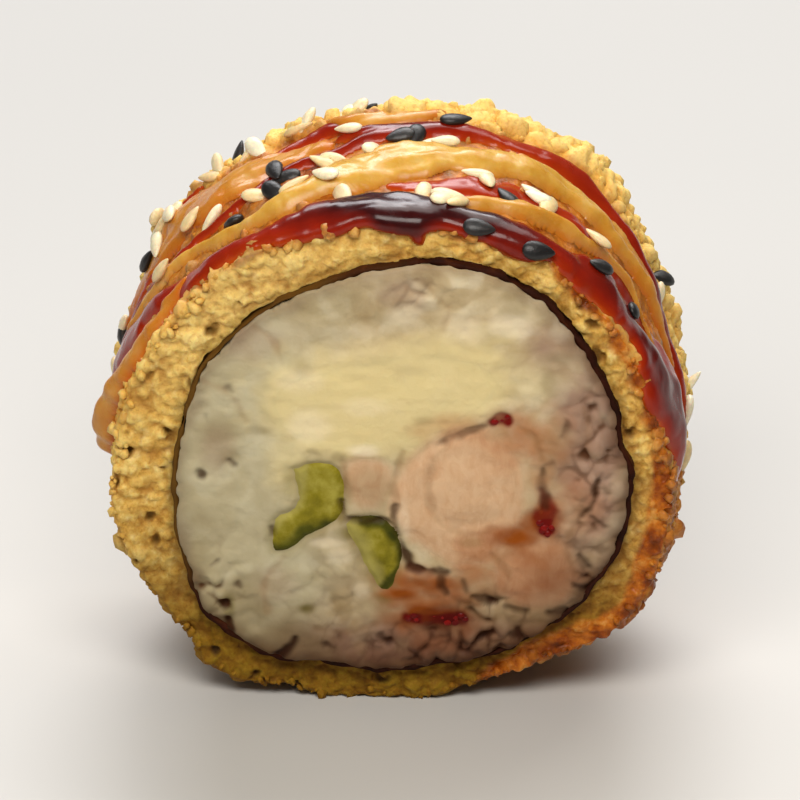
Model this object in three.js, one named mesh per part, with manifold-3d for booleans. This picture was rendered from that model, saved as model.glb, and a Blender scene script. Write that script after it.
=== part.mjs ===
// One slice of a shrimp tempura roll, as cut from the long roll and stood on its crust.
//
// From the outside in: a lumpy fried crust, a thin sheet of nori, a disc of packed rice, and the
// fillings that run through the rice from one cut face to the other. The roll's axis lies along Y,
// the face that is shown looks towards -Y, and the slice rests on a small flat spot at z = 0.
// Lengths are in millimetres. Section outlines are drawn in (x, z) about the roll's axis, with
// angles running anticlockwise from +X as seen from the front.

import * as THREE from "three";
import { mergeVertices } from "three/addons/utils/BufferGeometryUtils.js";
import Module from "manifold-3d";

const wasm = await Module();
wasm.setup();

// Driving dimensions
const SLICE_LENGTH = 24; // from cut face to cut face
const NORI_RADIUS = 20.8; // to the outside of the nori
const NORI_THICKNESS = 0.5;
const CRUST_THICKNESS = 3.9; // on average: it is thicker on the left than underneath
const CRUST_LEAN = 0.9; // how far the crust sits to the left of the nori
const LEAN_ANGLE = THREE.MathUtils.degToRad(172);
const CRUST_BULGE = 0.5; // how far the crust's middle swells past its cut edges
const FLAT_HALF_WIDTH = 5; // of the spot that the slice rests on
const GAP = 0.3; // between pieces that touch
const TWIST = THREE.MathUtils.degToRad(6); // of the back cut against the front one
const SWAY = 0.6; // how far the back cut is shifted to the right
const CUT_TILT = Math.tan(THREE.MathUtils.degToRad(1.5)); // the back cut's lean
const CRUST_STEPS = 10; // lengthwise divisions of the lumpy crust
const STEPS = 3; // lengthwise divisions of the pieces inside it
const CUTTER_EXTRA = 2; // how far a cutter reaches past each cut face

// Unevenness of a round outline, as waves round it: [number, height in mm, phase in degrees]
const NORI_WAVES = [
  [2, 0.35, 100],
  [3, 0.45, -110],
  [4, 0.3, -130],
  [5, 0.25, -40],
];
const CRUST_WAVES = [
  [2, 0.4, 33],
  [3, 0.45, -86],
  [4, 0.25, -99],
  [5, 0.25, -99],
];
const RICE_WAVES = [
  [17, 0.12, 10],
  [29, 0.1, -60],
];

// The crumbs that stick out over the plate at the lower left, fading from the front to the back
const FOOT = 1.9;
const FOOT_ANGLE = THREE.MathUtils.degToRad(-126);
const FOOT_HALF = THREE.MathUtils.degToRad(3);
const FOOT_END = THREE.MathUtils.degToRad(12);
const FOOT_REACH = 6; // how far before and behind the middle it fades

// The fried batter's lumps: [number round the slice, length in mm along it, height in mm, phase]
const CRUST_LUMPS = [
  [7, 23, 0.3, 0.7],
  [11, 15, 0.28, 2.4],
  [17, 9, 0.22, 4.1],
];

// Where the nori's end lies over its start: a stretch of double thickness at the lower left
const OVERLAP_ANGLE = THREE.MathUtils.degToRad(-140);
const OVERLAP_HALF = THREE.MathUtils.degToRad(13);
const OVERLAP_RAMP = THREE.MathUtils.degToRad(5);

// Where the packed rice pushes the nori out into the crust, at the lower left
const PUSH = 1.8;
const PUSH_ANGLE = THREE.MathUtils.degToRad(-132);
const PUSH_HALF = THREE.MathUtils.degToRad(8);
const PUSH_END = THREE.MathUtils.degToRad(28);

// The underside, where the slice's own weight presses the lumps away
const UNDERSIDE = THREE.MathUtils.degToRad(-90);
const PRESSED_HALF = THREE.MathUtils.degToRad(12);
const PRESSED_END = THREE.MathUtils.degToRad(35);

function waves(list, angle) {
  return list.reduce(
    (sum, [number, height, phase]) =>
      sum + height * Math.cos(number * angle - THREE.MathUtils.degToRad(phase)),
    0,
  );
}

// The angle between two directions
function turnBetween(a, b) {
  return Math.abs(Math.atan2(Math.sin(a - b), Math.cos(a - b)));
}

// A swelling that is full within half of its middle and gone at its end
function swelling(height, middle, half, end, angle) {
  return height * (1 - THREE.MathUtils.smoothstep(turnBetween(angle, middle), half, end));
}

function noriOutside(angle) {
  const pushed = swelling(PUSH, PUSH_ANGLE, PUSH_HALF, PUSH_END, angle);
  return NORI_RADIUS + waves(NORI_WAVES, angle) + pushed;
}

function noriInside(angle) {
  const doubled = swelling(1, OVERLAP_ANGLE, OVERLAP_HALF, OVERLAP_HALF + OVERLAP_RAMP, angle);
  return noriOutside(angle) - NORI_THICKNESS * (1 + doubled);
}

function crustOutside(angle) {
  const lean = CRUST_LEAN * Math.cos(angle - LEAN_ANGLE);
  return NORI_RADIUS + CRUST_THICKNESS + lean + waves(CRUST_WAVES, angle);
}

// The rice's edge follows the nori and dips where the grains leave it.
function riceOutside(angle) {
  const deepest = RICE_WAVES.reduce((sum, [, height]) => sum + height, 0);
  return noriInside(angle) - GAP - deepest + waves(RICE_WAVES, angle);
}

// The batter's height at an angle and a place along the slice
function crustLumps(angle, y) {
  const free = THREE.MathUtils.smoothstep(turnBetween(angle, UNDERSIDE), PRESSED_HALF, PRESSED_END);
  return CRUST_LUMPS.reduce((sum, [number, length, height, phase]) => {
    const along = (2 * Math.PI * y) / length + 2 * phase;
    return sum + free * height * Math.sin(number * angle + phase) * Math.cos(along);
  }, 0);
}

// A closed outline of count points whose distance from the axis is radiusAt(angle)
function ring(radiusAt, count) {
  return Array.from({ length: count }, (_, i) => {
    const angle = (2 * Math.PI * i) / count;
    const radius = radiusAt(angle);
    return new THREE.Vector2(radius * Math.cos(angle), radius * Math.sin(angle));
  });
}

// A rounded filling: an oval of that half width and half height, tilted, with waves round it
function blob({ x, z, halfWidth, halfHeight, tilt = 0, lobes = [], count = 28 }) {
  const centre = new THREE.Vector2(x, z);
  return Array.from({ length: count }, (_, i) => {
    const angle = (2 * Math.PI * i) / count;
    const swell = 1 + waves(lobes, angle) / Math.max(halfWidth, halfHeight);
    return new THREE.Vector2(halfWidth * swell * Math.cos(angle), halfHeight * swell * Math.sin(angle))
      .rotateAround(new THREE.Vector2(), THREE.MathUtils.degToRad(tilt))
      .add(centre);
  });
}

// A closed curve with soft corners through a few points
function rounded(points, count = 24) {
  const curve = new THREE.CatmullRomCurve3(
    points.map(([x, z]) => new THREE.Vector3(x, z, 0)),
    true,
    "centripetal",
  );
  const spaced = curve.getSpacedPoints(count).slice(0, -1);
  return spaced.map((p) => new THREE.Vector2(p.x, p.y));
}

// The outline moved outwards by a distance
function grown(outline, distance) {
  const outwards = THREE.ShapeUtils.area(outline) > 0 ? 1 : -1;
  return outline.map((point, i) => {
    const before = outline.at(i - 1);
    const after = outline[(i + 1) % outline.length];
    const along = after.clone().sub(before).normalize();
    return new THREE.Vector2(along.y, -along.x).multiplyScalar(distance * outwards).add(point);
  });
}

// The outline run along Y, centred on the slice's middle
function prism(outline, length, hole, steps = STEPS) {
  const shape = new THREE.Shape(outline);
  if (hole) shape.holes.push(new THREE.Path(hole));
  return new THREE.ExtrudeGeometry(shape, { depth: length, steps, bevelEnabled: false })
    .rotateX(Math.PI / 2)
    .translate(0, length / 2, 0);
}

function eachVertex(geometry, move) {
  const position = geometry.getAttribute("position");
  const vertex = new THREE.Vector3();
  for (let i = 0; i < position.count; i++) {
    move(vertex.fromBufferAttribute(position, i));
    position.setXYZ(i, vertex.x, vertex.y, vertex.z);
  }
  return geometry;
}

// The small turn, shift and lean that the whole slice takes between its front and back cuts
function settle(geometry) {
  return eachVertex(geometry, (vertex) => {
    const share = vertex.y / SLICE_LENGTH + 0.5;
    const turned = new THREE.Vector2(vertex.x, vertex.z).rotateAround(new THREE.Vector2(), TWIST * share);
    vertex.x = turned.x + SWAY * share;
    vertex.z = turned.y;
    vertex.y += CUT_TILT * vertex.z * share;
  });
}

function roughen(geometry) {
  return eachVertex(geometry, (vertex) => {
    const angle = Math.atan2(vertex.z, vertex.x);
    const radius = Math.hypot(vertex.x, vertex.z);
    if (radius < (noriOutside(angle) + crustOutside(angle)) / 2) return;
    const middle = 1 - (2 * vertex.y / SLICE_LENGTH) ** 2;
    const fade = 1 - THREE.MathUtils.smoothstep(vertex.y, -FOOT_REACH, FOOT_REACH);
    const foot = fade * swelling(FOOT, FOOT_ANGLE, FOOT_HALF, FOOT_END, angle);
    const scale = 1 + (CRUST_BULGE * middle + crustLumps(angle, vertex.y) + foot) / radius;
    vertex.x *= scale;
    vertex.z *= scale;
  });
}

// How high the axis stands once the crust is pressed flat where it rests
const REST_RADIUS = crustOutside(UNDERSIDE) + CRUST_BULGE;
const AXIS_HEIGHT = Math.sqrt(REST_RADIUS ** 2 - FLAT_HALF_WIDTH ** 2);

function pressFlat(geometry) {
  return eachVertex(geometry, (vertex) => {
    vertex.z = Math.max(vertex.z, -AXIS_HEIGHT);
  });
}

function solidOf(geometry) {
  const bare = new THREE.BufferGeometry().setAttribute("position", geometry.getAttribute("position"));
  const merged = mergeVertices(bare, 1e-4);
  return new wasm.Manifold(
    new wasm.Mesh({
      numProp: 3,
      vertProperties: merged.attributes.position.array,
      triVerts: new Uint32Array(merged.index.array),
    }),
  );
}

function geometryOf(solid) {
  const mesh = solid.getMesh();
  return new THREE.BufferGeometry()
    .setAttribute("position", new THREE.BufferAttribute(mesh.vertProperties, 3))
    .setIndex(new THREE.BufferAttribute(mesh.triVerts, 1));
}

// The largest piece of base once every cutter is taken out of it
function carved(base, cutters) {
  const left = cutters.reduce((solid, cutter) => solid.subtract(solidOf(cutter)), solidOf(base));
  const pieces = left.decompose().sort((a, b) => b.volume() - a.volume());
  return geometryOf(pieces[0]);
}

function material(color, roughness) {
  return new THREE.MeshStandardMaterial({ color, roughness, metalness: 0 });
}

const SHRIMP = material(0xe2b795, 0.4);
const CUCUMBER = material(0xa3a544, 0.35);
const ROE = material(0xc8321a, 0.25);

// Each filling: its outline, how far it stands out of each cut face, and its material
const FILLINGS = {
  cream_cheese: {
    outline: blob({
      x: -1.5,
      z: 7.4,
      halfWidth: 9.6,
      halfHeight: 4.4,
      tilt: 9,
      lobes: [[2, 0.3, 40], [3, 0.5, 70], [5, 0.25, 10]],
      count: 36,
    }),
    proud: 0.2,
    material: material(0xf3e6b8, 0.45),
  },
  shrimp_large: {
    outline: blob({
      x: 5.4,
      z: -2.3,
      halfWidth: 5.9,
      halfHeight: 6.8,
      tilt: -8,
      lobes: [[3, 0.25, 200], [4, 0.2, 60]],
    }),
    proud: 0.5,
    material: SHRIMP,
  },
  shrimp_small: {
    outline: blob({
      x: 12.2,
      z: -10.2,
      halfWidth: 3.5,
      halfHeight: 3.3,
      tilt: 30,
      lobes: [[3, 0.2, 90]],
      count: 20,
    }),
    proud: 0.3,
    material: SHRIMP,
  },
  shrimp_lobe: {
    outline: blob({
      x: -2.9,
      z: -0.8,
      halfWidth: 2.1,
      halfHeight: 2.6,
      tilt: 15,
      lobes: [[3, 0.15, 30]],
      count: 18,
    }),
    proud: 0.4,
    material: SHRIMP,
  },
  cucumber_upper: {
    outline: rounded([
      [-9.4, 0.2],
      [-5.6, 0.4],
      [-5.4, -4.3],
      [-8, -6.3],
      [-10.9, -8.3],
      [-11.2, -5.3],
      [-8.9, -3.2],
    ]),
    proud: 0.3,
    material: CUCUMBER,
  },
  cucumber_lower: {
    outline: rounded([
      [-4.9, -5.4],
      [-2.4, -4.5],
      [-0.7, -5.6],
      [0, -8.7],
      [-1.3, -12.3],
      [-2.8, -10.4],
      [-4, -7.6],
    ]),
    proud: 0.3,
    material: CUCUMBER,
  },
  roe_lower: {
    outline: blob({
      x: 3.6,
      z: -15,
      halfWidth: 2.9,
      halfHeight: 1.4,
      tilt: 4,
      lobes: [[5, 0.2, 0]],
      count: 18,
    }),
    proud: 0.2,
    material: ROE,
  },
  roe_side: {
    outline: blob({
      x: 13.3,
      z: -4.3,
      halfWidth: 1.2,
      halfHeight: 1.9,
      tilt: 12,
      lobes: [[5, 0.15, 0]],
      count: 16,
    }),
    proud: 0.2,
    material: ROE,
  },
};

const slice = new THREE.Group();

function place(name, geometry, finish) {
  const mesh = new THREE.Mesh(geometry, finish);
  mesh.name = name;
  slice.add(mesh);
}

const crust = prism(
  ring(crustOutside, 96),
  SLICE_LENGTH,
  ring((angle) => noriOutside(angle) + GAP, 64),
  CRUST_STEPS,
);
place("crust", pressFlat(settle(roughen(crust))), material(0xd9a352, 0.8));

const NORI_RECESS = 0.3;
const nori = prism(ring(noriOutside, 64), SLICE_LENGTH - 2 * NORI_RECESS, ring(noriInside, 64));
place("nori", settle(nori), material(0x1f2115, 0.5));

const cutters = Object.values(FILLINGS).map(({ outline }) =>
  prism(grown(outline, GAP), SLICE_LENGTH + 2 * CUTTER_EXTRA),
);
const rice = carved(prism(ring(riceOutside, 80), SLICE_LENGTH), cutters);
place("rice", settle(rice), material(0xe6dcc4, 0.55));

for (const [name, { outline, proud, material: finish }] of Object.entries(FILLINGS)) {
  place(name, settle(prism(outline, SLICE_LENGTH + 2 * proud)), finish);
}

// The origin is the middle of the slice's box, on the surface that it rests on.
const box = new THREE.Box3().setFromObject(slice);
slice.position.set(-(box.min.x + box.max.x) / 2, -(box.min.y + box.max.y) / 2, AXIS_HEIGHT);

export default slice;
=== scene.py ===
"""The looks of one slice of a fried shrimp roll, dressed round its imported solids.

Lengths are in metres, in the solids' own frame: the roll's axis runs along Y, the shown cut looks
towards -Y and the slice rests on z = 0. A place on the crust's outside is given by its turn, in
degrees from the top towards +X, and by how far it lies behind the slice's middle, in millimetres.
"""

import functools
import math

import bmesh
import bpy
import numpy as np
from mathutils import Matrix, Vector
from mathutils.bvhtree import BVHTree
from mathutils.geometry import delaunay_2d_cdt


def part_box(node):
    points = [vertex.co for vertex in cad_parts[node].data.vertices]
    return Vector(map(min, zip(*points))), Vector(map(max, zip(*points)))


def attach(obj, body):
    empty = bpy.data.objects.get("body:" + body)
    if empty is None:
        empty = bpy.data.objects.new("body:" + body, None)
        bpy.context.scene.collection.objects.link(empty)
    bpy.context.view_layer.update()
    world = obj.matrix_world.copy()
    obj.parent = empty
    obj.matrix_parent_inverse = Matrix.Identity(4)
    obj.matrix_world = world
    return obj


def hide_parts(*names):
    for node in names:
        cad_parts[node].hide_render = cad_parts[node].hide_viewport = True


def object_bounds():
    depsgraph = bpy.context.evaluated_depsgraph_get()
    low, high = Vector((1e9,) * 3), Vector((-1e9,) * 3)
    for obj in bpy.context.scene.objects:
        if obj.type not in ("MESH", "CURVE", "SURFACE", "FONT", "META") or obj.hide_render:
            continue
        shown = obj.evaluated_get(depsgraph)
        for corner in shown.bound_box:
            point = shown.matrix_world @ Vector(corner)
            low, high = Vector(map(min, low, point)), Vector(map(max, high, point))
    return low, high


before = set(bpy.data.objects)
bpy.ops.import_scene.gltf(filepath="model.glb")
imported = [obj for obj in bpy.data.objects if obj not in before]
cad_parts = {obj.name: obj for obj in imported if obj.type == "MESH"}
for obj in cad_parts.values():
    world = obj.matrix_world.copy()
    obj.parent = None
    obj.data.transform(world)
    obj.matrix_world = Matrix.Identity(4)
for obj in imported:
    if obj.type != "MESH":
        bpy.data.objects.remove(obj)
cad_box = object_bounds()

MM = 0.001
FRONT, BACK = -1, 1  # the two cut faces, as the sign of their outward Y
CRUST_LOW, CRUST_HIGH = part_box("crust")
HALF_LENGTH = (CRUST_HIGH.y - CRUST_LOW.y) / 2
MIDDLE_Y = (CRUST_HIGH.y + CRUST_LOW.y) / 2


def cut_points(node, side):
    """The points of a node's solid that lie near one of its cut faces."""
    points = np.array([v.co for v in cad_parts[node].data.vertices])
    return points[(points[:, 1] - MIDDLE_Y) * side > 0.8 * HALF_LENGTH]


# The roll's axis where it meets the front cut, from the seaweed's ring there
FRONT_RING = cut_points("nori", FRONT)
AXIS_X, _, AXIS_Z = (FRONT_RING.min(0) + FRONT_RING.max(0)) / 2
FLOOR_GAP = 0.02 * MM  # how far the crust and its crumbs stay off the floor


# ---------------------------------------------------------------- noise


def hashed(cell, seed):
    """A repeatable value from 0 to 1 for each whole-numbered cell."""
    x, y, z = (cell[..., i].astype(np.int64).astype(np.uint64) for i in range(3))
    mask = np.uint64(0xFFFFFFFF)
    h = (x * np.uint64(73856093) ^ y * np.uint64(19349663) ^ z * np.uint64(83492791)) & mask
    h = (h ^ np.uint64((seed + 1) * 2654435761 % 2**32)) & mask
    h = ((h ^ (h >> np.uint64(15))) * np.uint64(2246822519)) & mask
    h = ((h ^ (h >> np.uint64(13))) * np.uint64(3266489917)) & mask
    return (h ^ (h >> np.uint64(16))) / 2**32


def noise(points, size, seed):
    """Smooth noise from -1 to 1 whose bumps are about that size."""
    scaled = np.asarray(points) / size
    base = np.floor(scaled)
    share = scaled - base
    share = share * share * (3 - 2 * share)
    total = np.zeros(scaled.shape[:-1])
    for corner in np.ndindex(2, 2, 2):
        weight = np.prod(np.where(np.array(corner) == 1, share, 1 - share), axis=-1)
        total += weight * hashed(base + np.array(corner), seed)
    return 2 * total - 1


def rough_noise(points, size, seed):
    """Noise with finer and fainter noise on it."""
    return sum(noise(points, size / 2**i, seed + i) / 2**i for i in range(3)) / 1.5


def cells(points, size, seed):
    """How far the nearest and next scattered cell centres are, in cell sizes, and the nearest's value."""
    scaled = np.asarray(points) / size
    base = np.floor(scaled)
    near = np.full(scaled.shape[:-1], 9.0)
    after = near.copy()
    value = np.zeros_like(near)
    for step in np.ndindex(3, 3, 3):
        cell = base + np.array(step) - 1
        centre = cell + np.stack([hashed(cell, seed + i) for i in range(3)], axis=-1)
        distance = np.linalg.norm(scaled - centre, axis=-1)
        closer = distance < near
        after = np.where(closer, near, np.minimum(after, distance))
        value = np.where(closer, hashed(cell, seed + 7), value)
        near = np.where(closer, distance, near)
    return near, after, value


def lumps(points, size, seed):
    """Relief like packed crumbs: 0 in the gaps and up to 1 on the tallest."""
    warp = np.stack([noise(points, 0.8 * size, seed + 20 + i) for i in range(3)], axis=-1)
    near, after, value = cells(points + 0.3 * size * warp, size, seed)
    dome = np.sqrt(np.clip(1 - (near / 0.8) ** 2, 0, 1))
    return dome * (0.4 + 0.6 * value) * (0.45 + 0.55 * ramped(after - near, 0, 0.3))


def ramped(value, low, high):
    """0 below low, 1 above high and a smooth rise between them; high may be the smaller."""
    share = np.clip((np.asarray(value) - low) / (high - low), 0, 1)
    return share * share * (3 - 2 * share)


def soft_max(first, second, blend):
    """The larger value, eased where the two are within blend of each other."""
    near = np.maximum(blend - np.abs(first - second), 0)
    return np.maximum(first, second) + near**2 / (4 * blend)


def sampled(table, row, column):
    """A table's values between its rows and columns; the last column runs on into the first."""
    row = np.clip(row, 0, len(table) - 1)
    r0 = np.minimum(np.floor(row).astype(int), len(table) - 2)
    rf, cf = row - r0, column - np.floor(column)
    c0 = np.floor(column).astype(int) % table.shape[1]
    c1 = (c0 + 1) % table.shape[1]
    upper = table[r0, c0] * (1 - cf) + table[r0, c1] * cf
    lower = table[r0 + 1, c0] * (1 - cf) + table[r0 + 1, c1] * cf
    return upper * (1 - rf) + lower * rf


# ---------------------------------------------------------------- meshes


def tree_of(mesh):
    """A mesh's faces, ready for rays to be cast at them."""
    return BVHTree.FromPolygons([v.co for v in mesh.vertices], [p.vertices for p in mesh.polygons])


def make_object(name, points, faces, material, values=None):
    """A smooth-shaded mesh object, with a named value for each point where values are given."""
    mesh = bpy.data.meshes.new(name)
    mesh.from_pydata(np.asarray(points).tolist(), [], [list(f) for f in np.asarray(faces, dtype=object)])
    mesh.validate()
    mesh.polygons.foreach_set("use_smooth", np.ones(len(mesh.polygons), bool))
    for key, value in (values or {}).items():
        mesh.attributes.new(key, "FLOAT", "POINT").data.foreach_set("value", np.asarray(value, np.float32))
    mesh.materials.append(material)
    obj = bpy.data.objects.new(name, mesh)
    bpy.context.scene.collection.objects.link(obj)
    return obj


def dress(obj, slot, *nodes):
    """Makes a finished piece ride with the slice, in place of those nodes."""
    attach(obj, "root")
    if nodes:
        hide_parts(*nodes)


def grid_faces(rows, columns):
    """Quads over a grid of points whose rows and columns both run round and meet."""
    upper = np.arange(rows)[:, None]
    column = np.arange(columns)[None, :]
    after = (upper + 1) % rows
    turned = (column + 1) % columns
    corners = [(upper, column), (upper, turned), (after, turned), (after, column)]
    return np.stack([(row * columns + place).ravel() for row, place in corners], axis=1)


def grid_normals(points):
    """Unit normals of a grid (rows, columns, 3) whose rows and columns both run round and meet."""
    along = np.roll(points, -1, axis=1) - np.roll(points, 1, axis=1)
    across = np.roll(points, -1, axis=0) - np.roll(points, 1, axis=0)
    normals = np.cross(across, along)
    return normals / np.maximum(np.linalg.norm(normals, axis=-1, keepdims=True), 1e-12)


def joined(shapes):
    """Many (points, faces) shapes as one, with the number of the shape that each point is in."""
    points, faces, owners, start = [], [], [], 0
    for number, (shape_points, shape_faces) in enumerate(shapes):
        points.append(shape_points)
        faces.extend((np.asarray(face) + start).tolist() for face in shape_faces)
        owners.append(np.full(len(shape_points), number))
        start += len(shape_points)
    return np.concatenate(points), faces, np.concatenate(owners)


def make_many(name, shapes, tints, material):
    """Many (points, faces) shapes as one piece, each with its own tint."""
    points, faces, owners = joined(shapes)
    return make_object(name, points, faces, material, {"tint": np.array(tints)[owners]})


def ball(rings, sides):
    """A unit ball with its poles on X, as points and faces."""
    points = [(-1.0, 0.0, 0.0)]
    for ring in range(1, rings):
        lean = math.pi * ring / rings
        for side in range(sides):
            turn = 2 * math.pi * side / sides
            wide = math.sin(lean)
            points.append((-math.cos(lean), wide * math.cos(turn), wide * math.sin(turn)))
    points.append((1.0, 0.0, 0.0))
    last = len(points) - 1
    faces = [(0, 1 + (s + 1) % sides, 1 + s) for s in range(sides)]
    for ring in range(rings - 2):
        for s in range(sides):
            a, b = 1 + ring * sides + s, 1 + ring * sides + (s + 1) % sides
            faces.append((a, b, b + sides, a + sides))
    faces += [(last, last - sides + s, last - sides + (s + 1) % sides) for s in range(sides)]
    return np.array(points), faces


def turning(generator):
    """A random rotation matrix."""
    a, b, c = generator.uniform(-math.pi, math.pi, 3)
    turn_z = np.array([[math.cos(a), -math.sin(a), 0], [math.sin(a), math.cos(a), 0], [0, 0, 1]])
    turn_y = np.array([[math.cos(b), 0, math.sin(b)], [0, 1, 0], [-math.sin(b), 0, math.cos(b)]])
    turn_x = np.array([[1, 0, 0], [0, math.cos(c), -math.sin(c)], [0, math.sin(c), math.cos(c)]])
    return turn_z @ turn_y @ turn_x


def spline(rows, count, closed=False):
    """A smooth curve of count points through a few rows of numbers."""
    rows = np.asarray(rows, float)
    if closed:
        padded = np.concatenate([rows[-1:], rows, rows[:2]])
        place = np.linspace(0, len(rows), count, endpoint=False)
    else:
        padded = np.concatenate([2 * rows[:1] - rows[1:2], rows, 2 * rows[-1:] - rows[-2:-1]])
        place = np.linspace(0, len(rows) - 1 - 1e-9, count)
    step = np.floor(place).astype(int)
    t = (place - step)[:, None]
    p0, p1, p2, p3 = (padded[step + i] for i in range(4))
    bend, twist = 2 * p0 - 5 * p1 + 4 * p2 - p3, 3 * p1 - p0 - 3 * p2 + p3
    return 0.5 * (2 * p1 + (p2 - p0) * t + bend * t**2 + twist * t**3)


# ---------------------------------------------------------------- the roll's own surfaces


class Sleeve:
    """The radius of a node round the roll's axis, by turn and depth, read off the solid."""

    TURNS, DEPTHS = 240, 25
    INSET = 0.02  # how far inside each cut, as a share of the depth, the first and last rows are read

    def __init__(self, node, outside=True):
        tree = tree_of(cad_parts[node].data)
        low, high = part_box(node)
        reach = high.z - low.z
        self.cuts = {side: cut_plane(node, side) for side in (FRONT, BACK)}
        self.table = np.zeros((self.DEPTHS, self.TURNS))
        for row in range(self.DEPTHS):
            for column in range(self.TURNS):
                angle = 2 * math.pi * column / self.TURNS
                way = Vector((math.cos(angle), 0, math.sin(angle)))
                share = self.INSET + (1 - 2 * self.INSET) * row / (self.DEPTHS - 1)
                front, back = self.cut_ys(AXIS_Z + reach / 2 * way.z)
                centre = Vector((AXIS_X, front + (back - front) * share, AXIS_Z))
                start = centre + way * reach if outside else centre
                hit = tree.ray_cast(start, -way if outside else way)[0]
                self.table[row, column] = (hit - centre).length

    def cut_ys(self, z):
        """Where the front and the back cut lie at a height."""
        return [offset + slope * z for offset, slope in (self.cuts[FRONT], self.cuts[BACK])]

    def radius(self, angle, share):
        """The radius at an angle from +X and a share of the way from the front cut to the back one."""
        column = np.mod(angle, 2 * math.pi) / (2 * math.pi) * self.TURNS
        row = (np.asarray(share) - self.INSET) / (1 - 2 * self.INSET)
        return sampled(self.table, np.clip(row, 0, 1) * (self.DEPTHS - 1), column)


def cut_plane(node, side):
    """A cut face's y at z = 0 and its slope with z."""
    face = cut_points(node, side)
    slope, offset = np.polyfit(face[:, 2], face[:, 1], 1)
    return offset, slope


def all_round(count):
    """That many even angles round the roll, as one row."""
    return np.linspace(0, 2 * math.pi, count, endpoint=False)[None, :]


def round_axis(angle, radius, y):
    """Points round the roll's axis."""
    across, up = AXIS_X + radius * np.cos(angle), AXIS_Z + radius * np.sin(angle)
    return np.stack([across, y + 0 * radius, up], axis=-1)


def radius_and_angle(points):
    """How far points lie from the roll's axis, and their angle from +X."""
    x, z = points[..., 0] - AXIS_X, points[..., 2] - AXIS_Z
    return np.hypot(x, z), np.arctan2(z, x)


# Where the crust swells a little past its solid:
# (turn in degrees, mm behind the middle, reach of each, height in mm)
SWELLS = [(130, -5, 34, 15, 1.5), (42, 11, 36, 6, 1.1)]

crust_out = Sleeve("crust")
nori_out = Sleeve("nori")
nori_in = Sleeve("nori", outside=False)


def swell(table):
    """The extra radius at each turn and depth of a sleeve's table."""
    rows, columns = table.shape
    turn = 90 - np.arange(columns)[None, :] * 360 / columns
    behind = np.linspace(-HALF_LENGTH, HALF_LENGTH, rows)[:, None] / MM
    extra = np.zeros(table.shape)
    for at_turn, at_behind, wide, deep, height in SWELLS:
        away = (turn - at_turn + 180) % 360 - 180
        extra += height * MM * ramped(np.hypot(away / wide, (behind - at_behind) / deep), 1, 0.2)
    return extra


crust_out.table += swell(crust_out.table)


def nori_line(angle, share):
    """The radius of the middle of the seaweed ring, pushed in and out by the grains behind it."""
    middle = (nori_out.radius(angle, share) + nori_in.radius(angle, share)) / 2
    place = round_axis(angle + 0 * middle, 21 * MM + 0 * middle, 9 * MM * share)
    return middle + 0.26 * MM * noise(place, 3.4 * MM, 40) + 0.1 * MM * noise(place, 1.5 * MM, 47)


# Half the thickness of the wet sheet where it shows: (degrees from the right, mm)
NORI_HALVES = [
    (0, 0.36), (40, 0.42), (80, 0.3), (125, 0.17), (165, 0.26), (215, 0.3), (245, 0.34), (290, 0.28),
    (320, 0.2),
]
RIM_SHARES = {FRONT: 0.02, BACK: 0.98}  # where the sheet's line is read for each cut face


def nori_half(angle):
    """Half the thickness of the wet sheet: thickest at the upper right."""
    turns, halves = zip(*NORI_HALVES)
    return np.interp(np.degrees(angle), turns, halves, period=360) * MM


CRUST_SINK = 0.1 * MM  # how far the crust lies inside its solid, which the crumbs' peaks reach
RIM_ROUND = 0.7 * MM  # the radius of the crust's outer edges


def crust_place(turn, behind, lift):
    """The point at a turn, in radians from the top, and a depth behind the middle, lifted off the crust.

    A depth past the front cut bends over the rim and runs on down the cut face.
    """
    angle = math.pi / 2 - turn
    front, back = crust_out.cut_ys(AXIS_Z + crust_out.table.mean() * np.sin(angle))
    y = MIDDLE_Y + behind
    share = (np.maximum(y, front) - front) / (back - front)
    outer = crust_out.radius(angle, share) - CRUST_SINK
    bend = np.clip((front + RIM_ROUND - y) / RIM_ROUND, 0, math.pi / 2)
    past = np.maximum(front + RIM_ROUND - y - RIM_ROUND * math.pi / 2, 0)
    inset = outer - RIM_ROUND - past
    bent_y = front + RIM_ROUND - RIM_ROUND * np.sin(bend) - lift * np.sin(bend)
    radius = np.where(bend > 0, inset + (RIM_ROUND + lift) * np.cos(bend), outer + lift)
    return round_axis(angle, radius, np.where(bend > 0, bent_y, y))


# ---------------------------------------------------------------- materials


def linear(colour):
    """A colour as it looks on screen, from 0 to 255, as Blender's linear colour."""
    shares = [c / 255 for c in colour]
    return [s / 12.92 if s <= 0.04045 else ((s + 0.055) / 1.055) ** 2.4 for s in shares] + [1]


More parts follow.
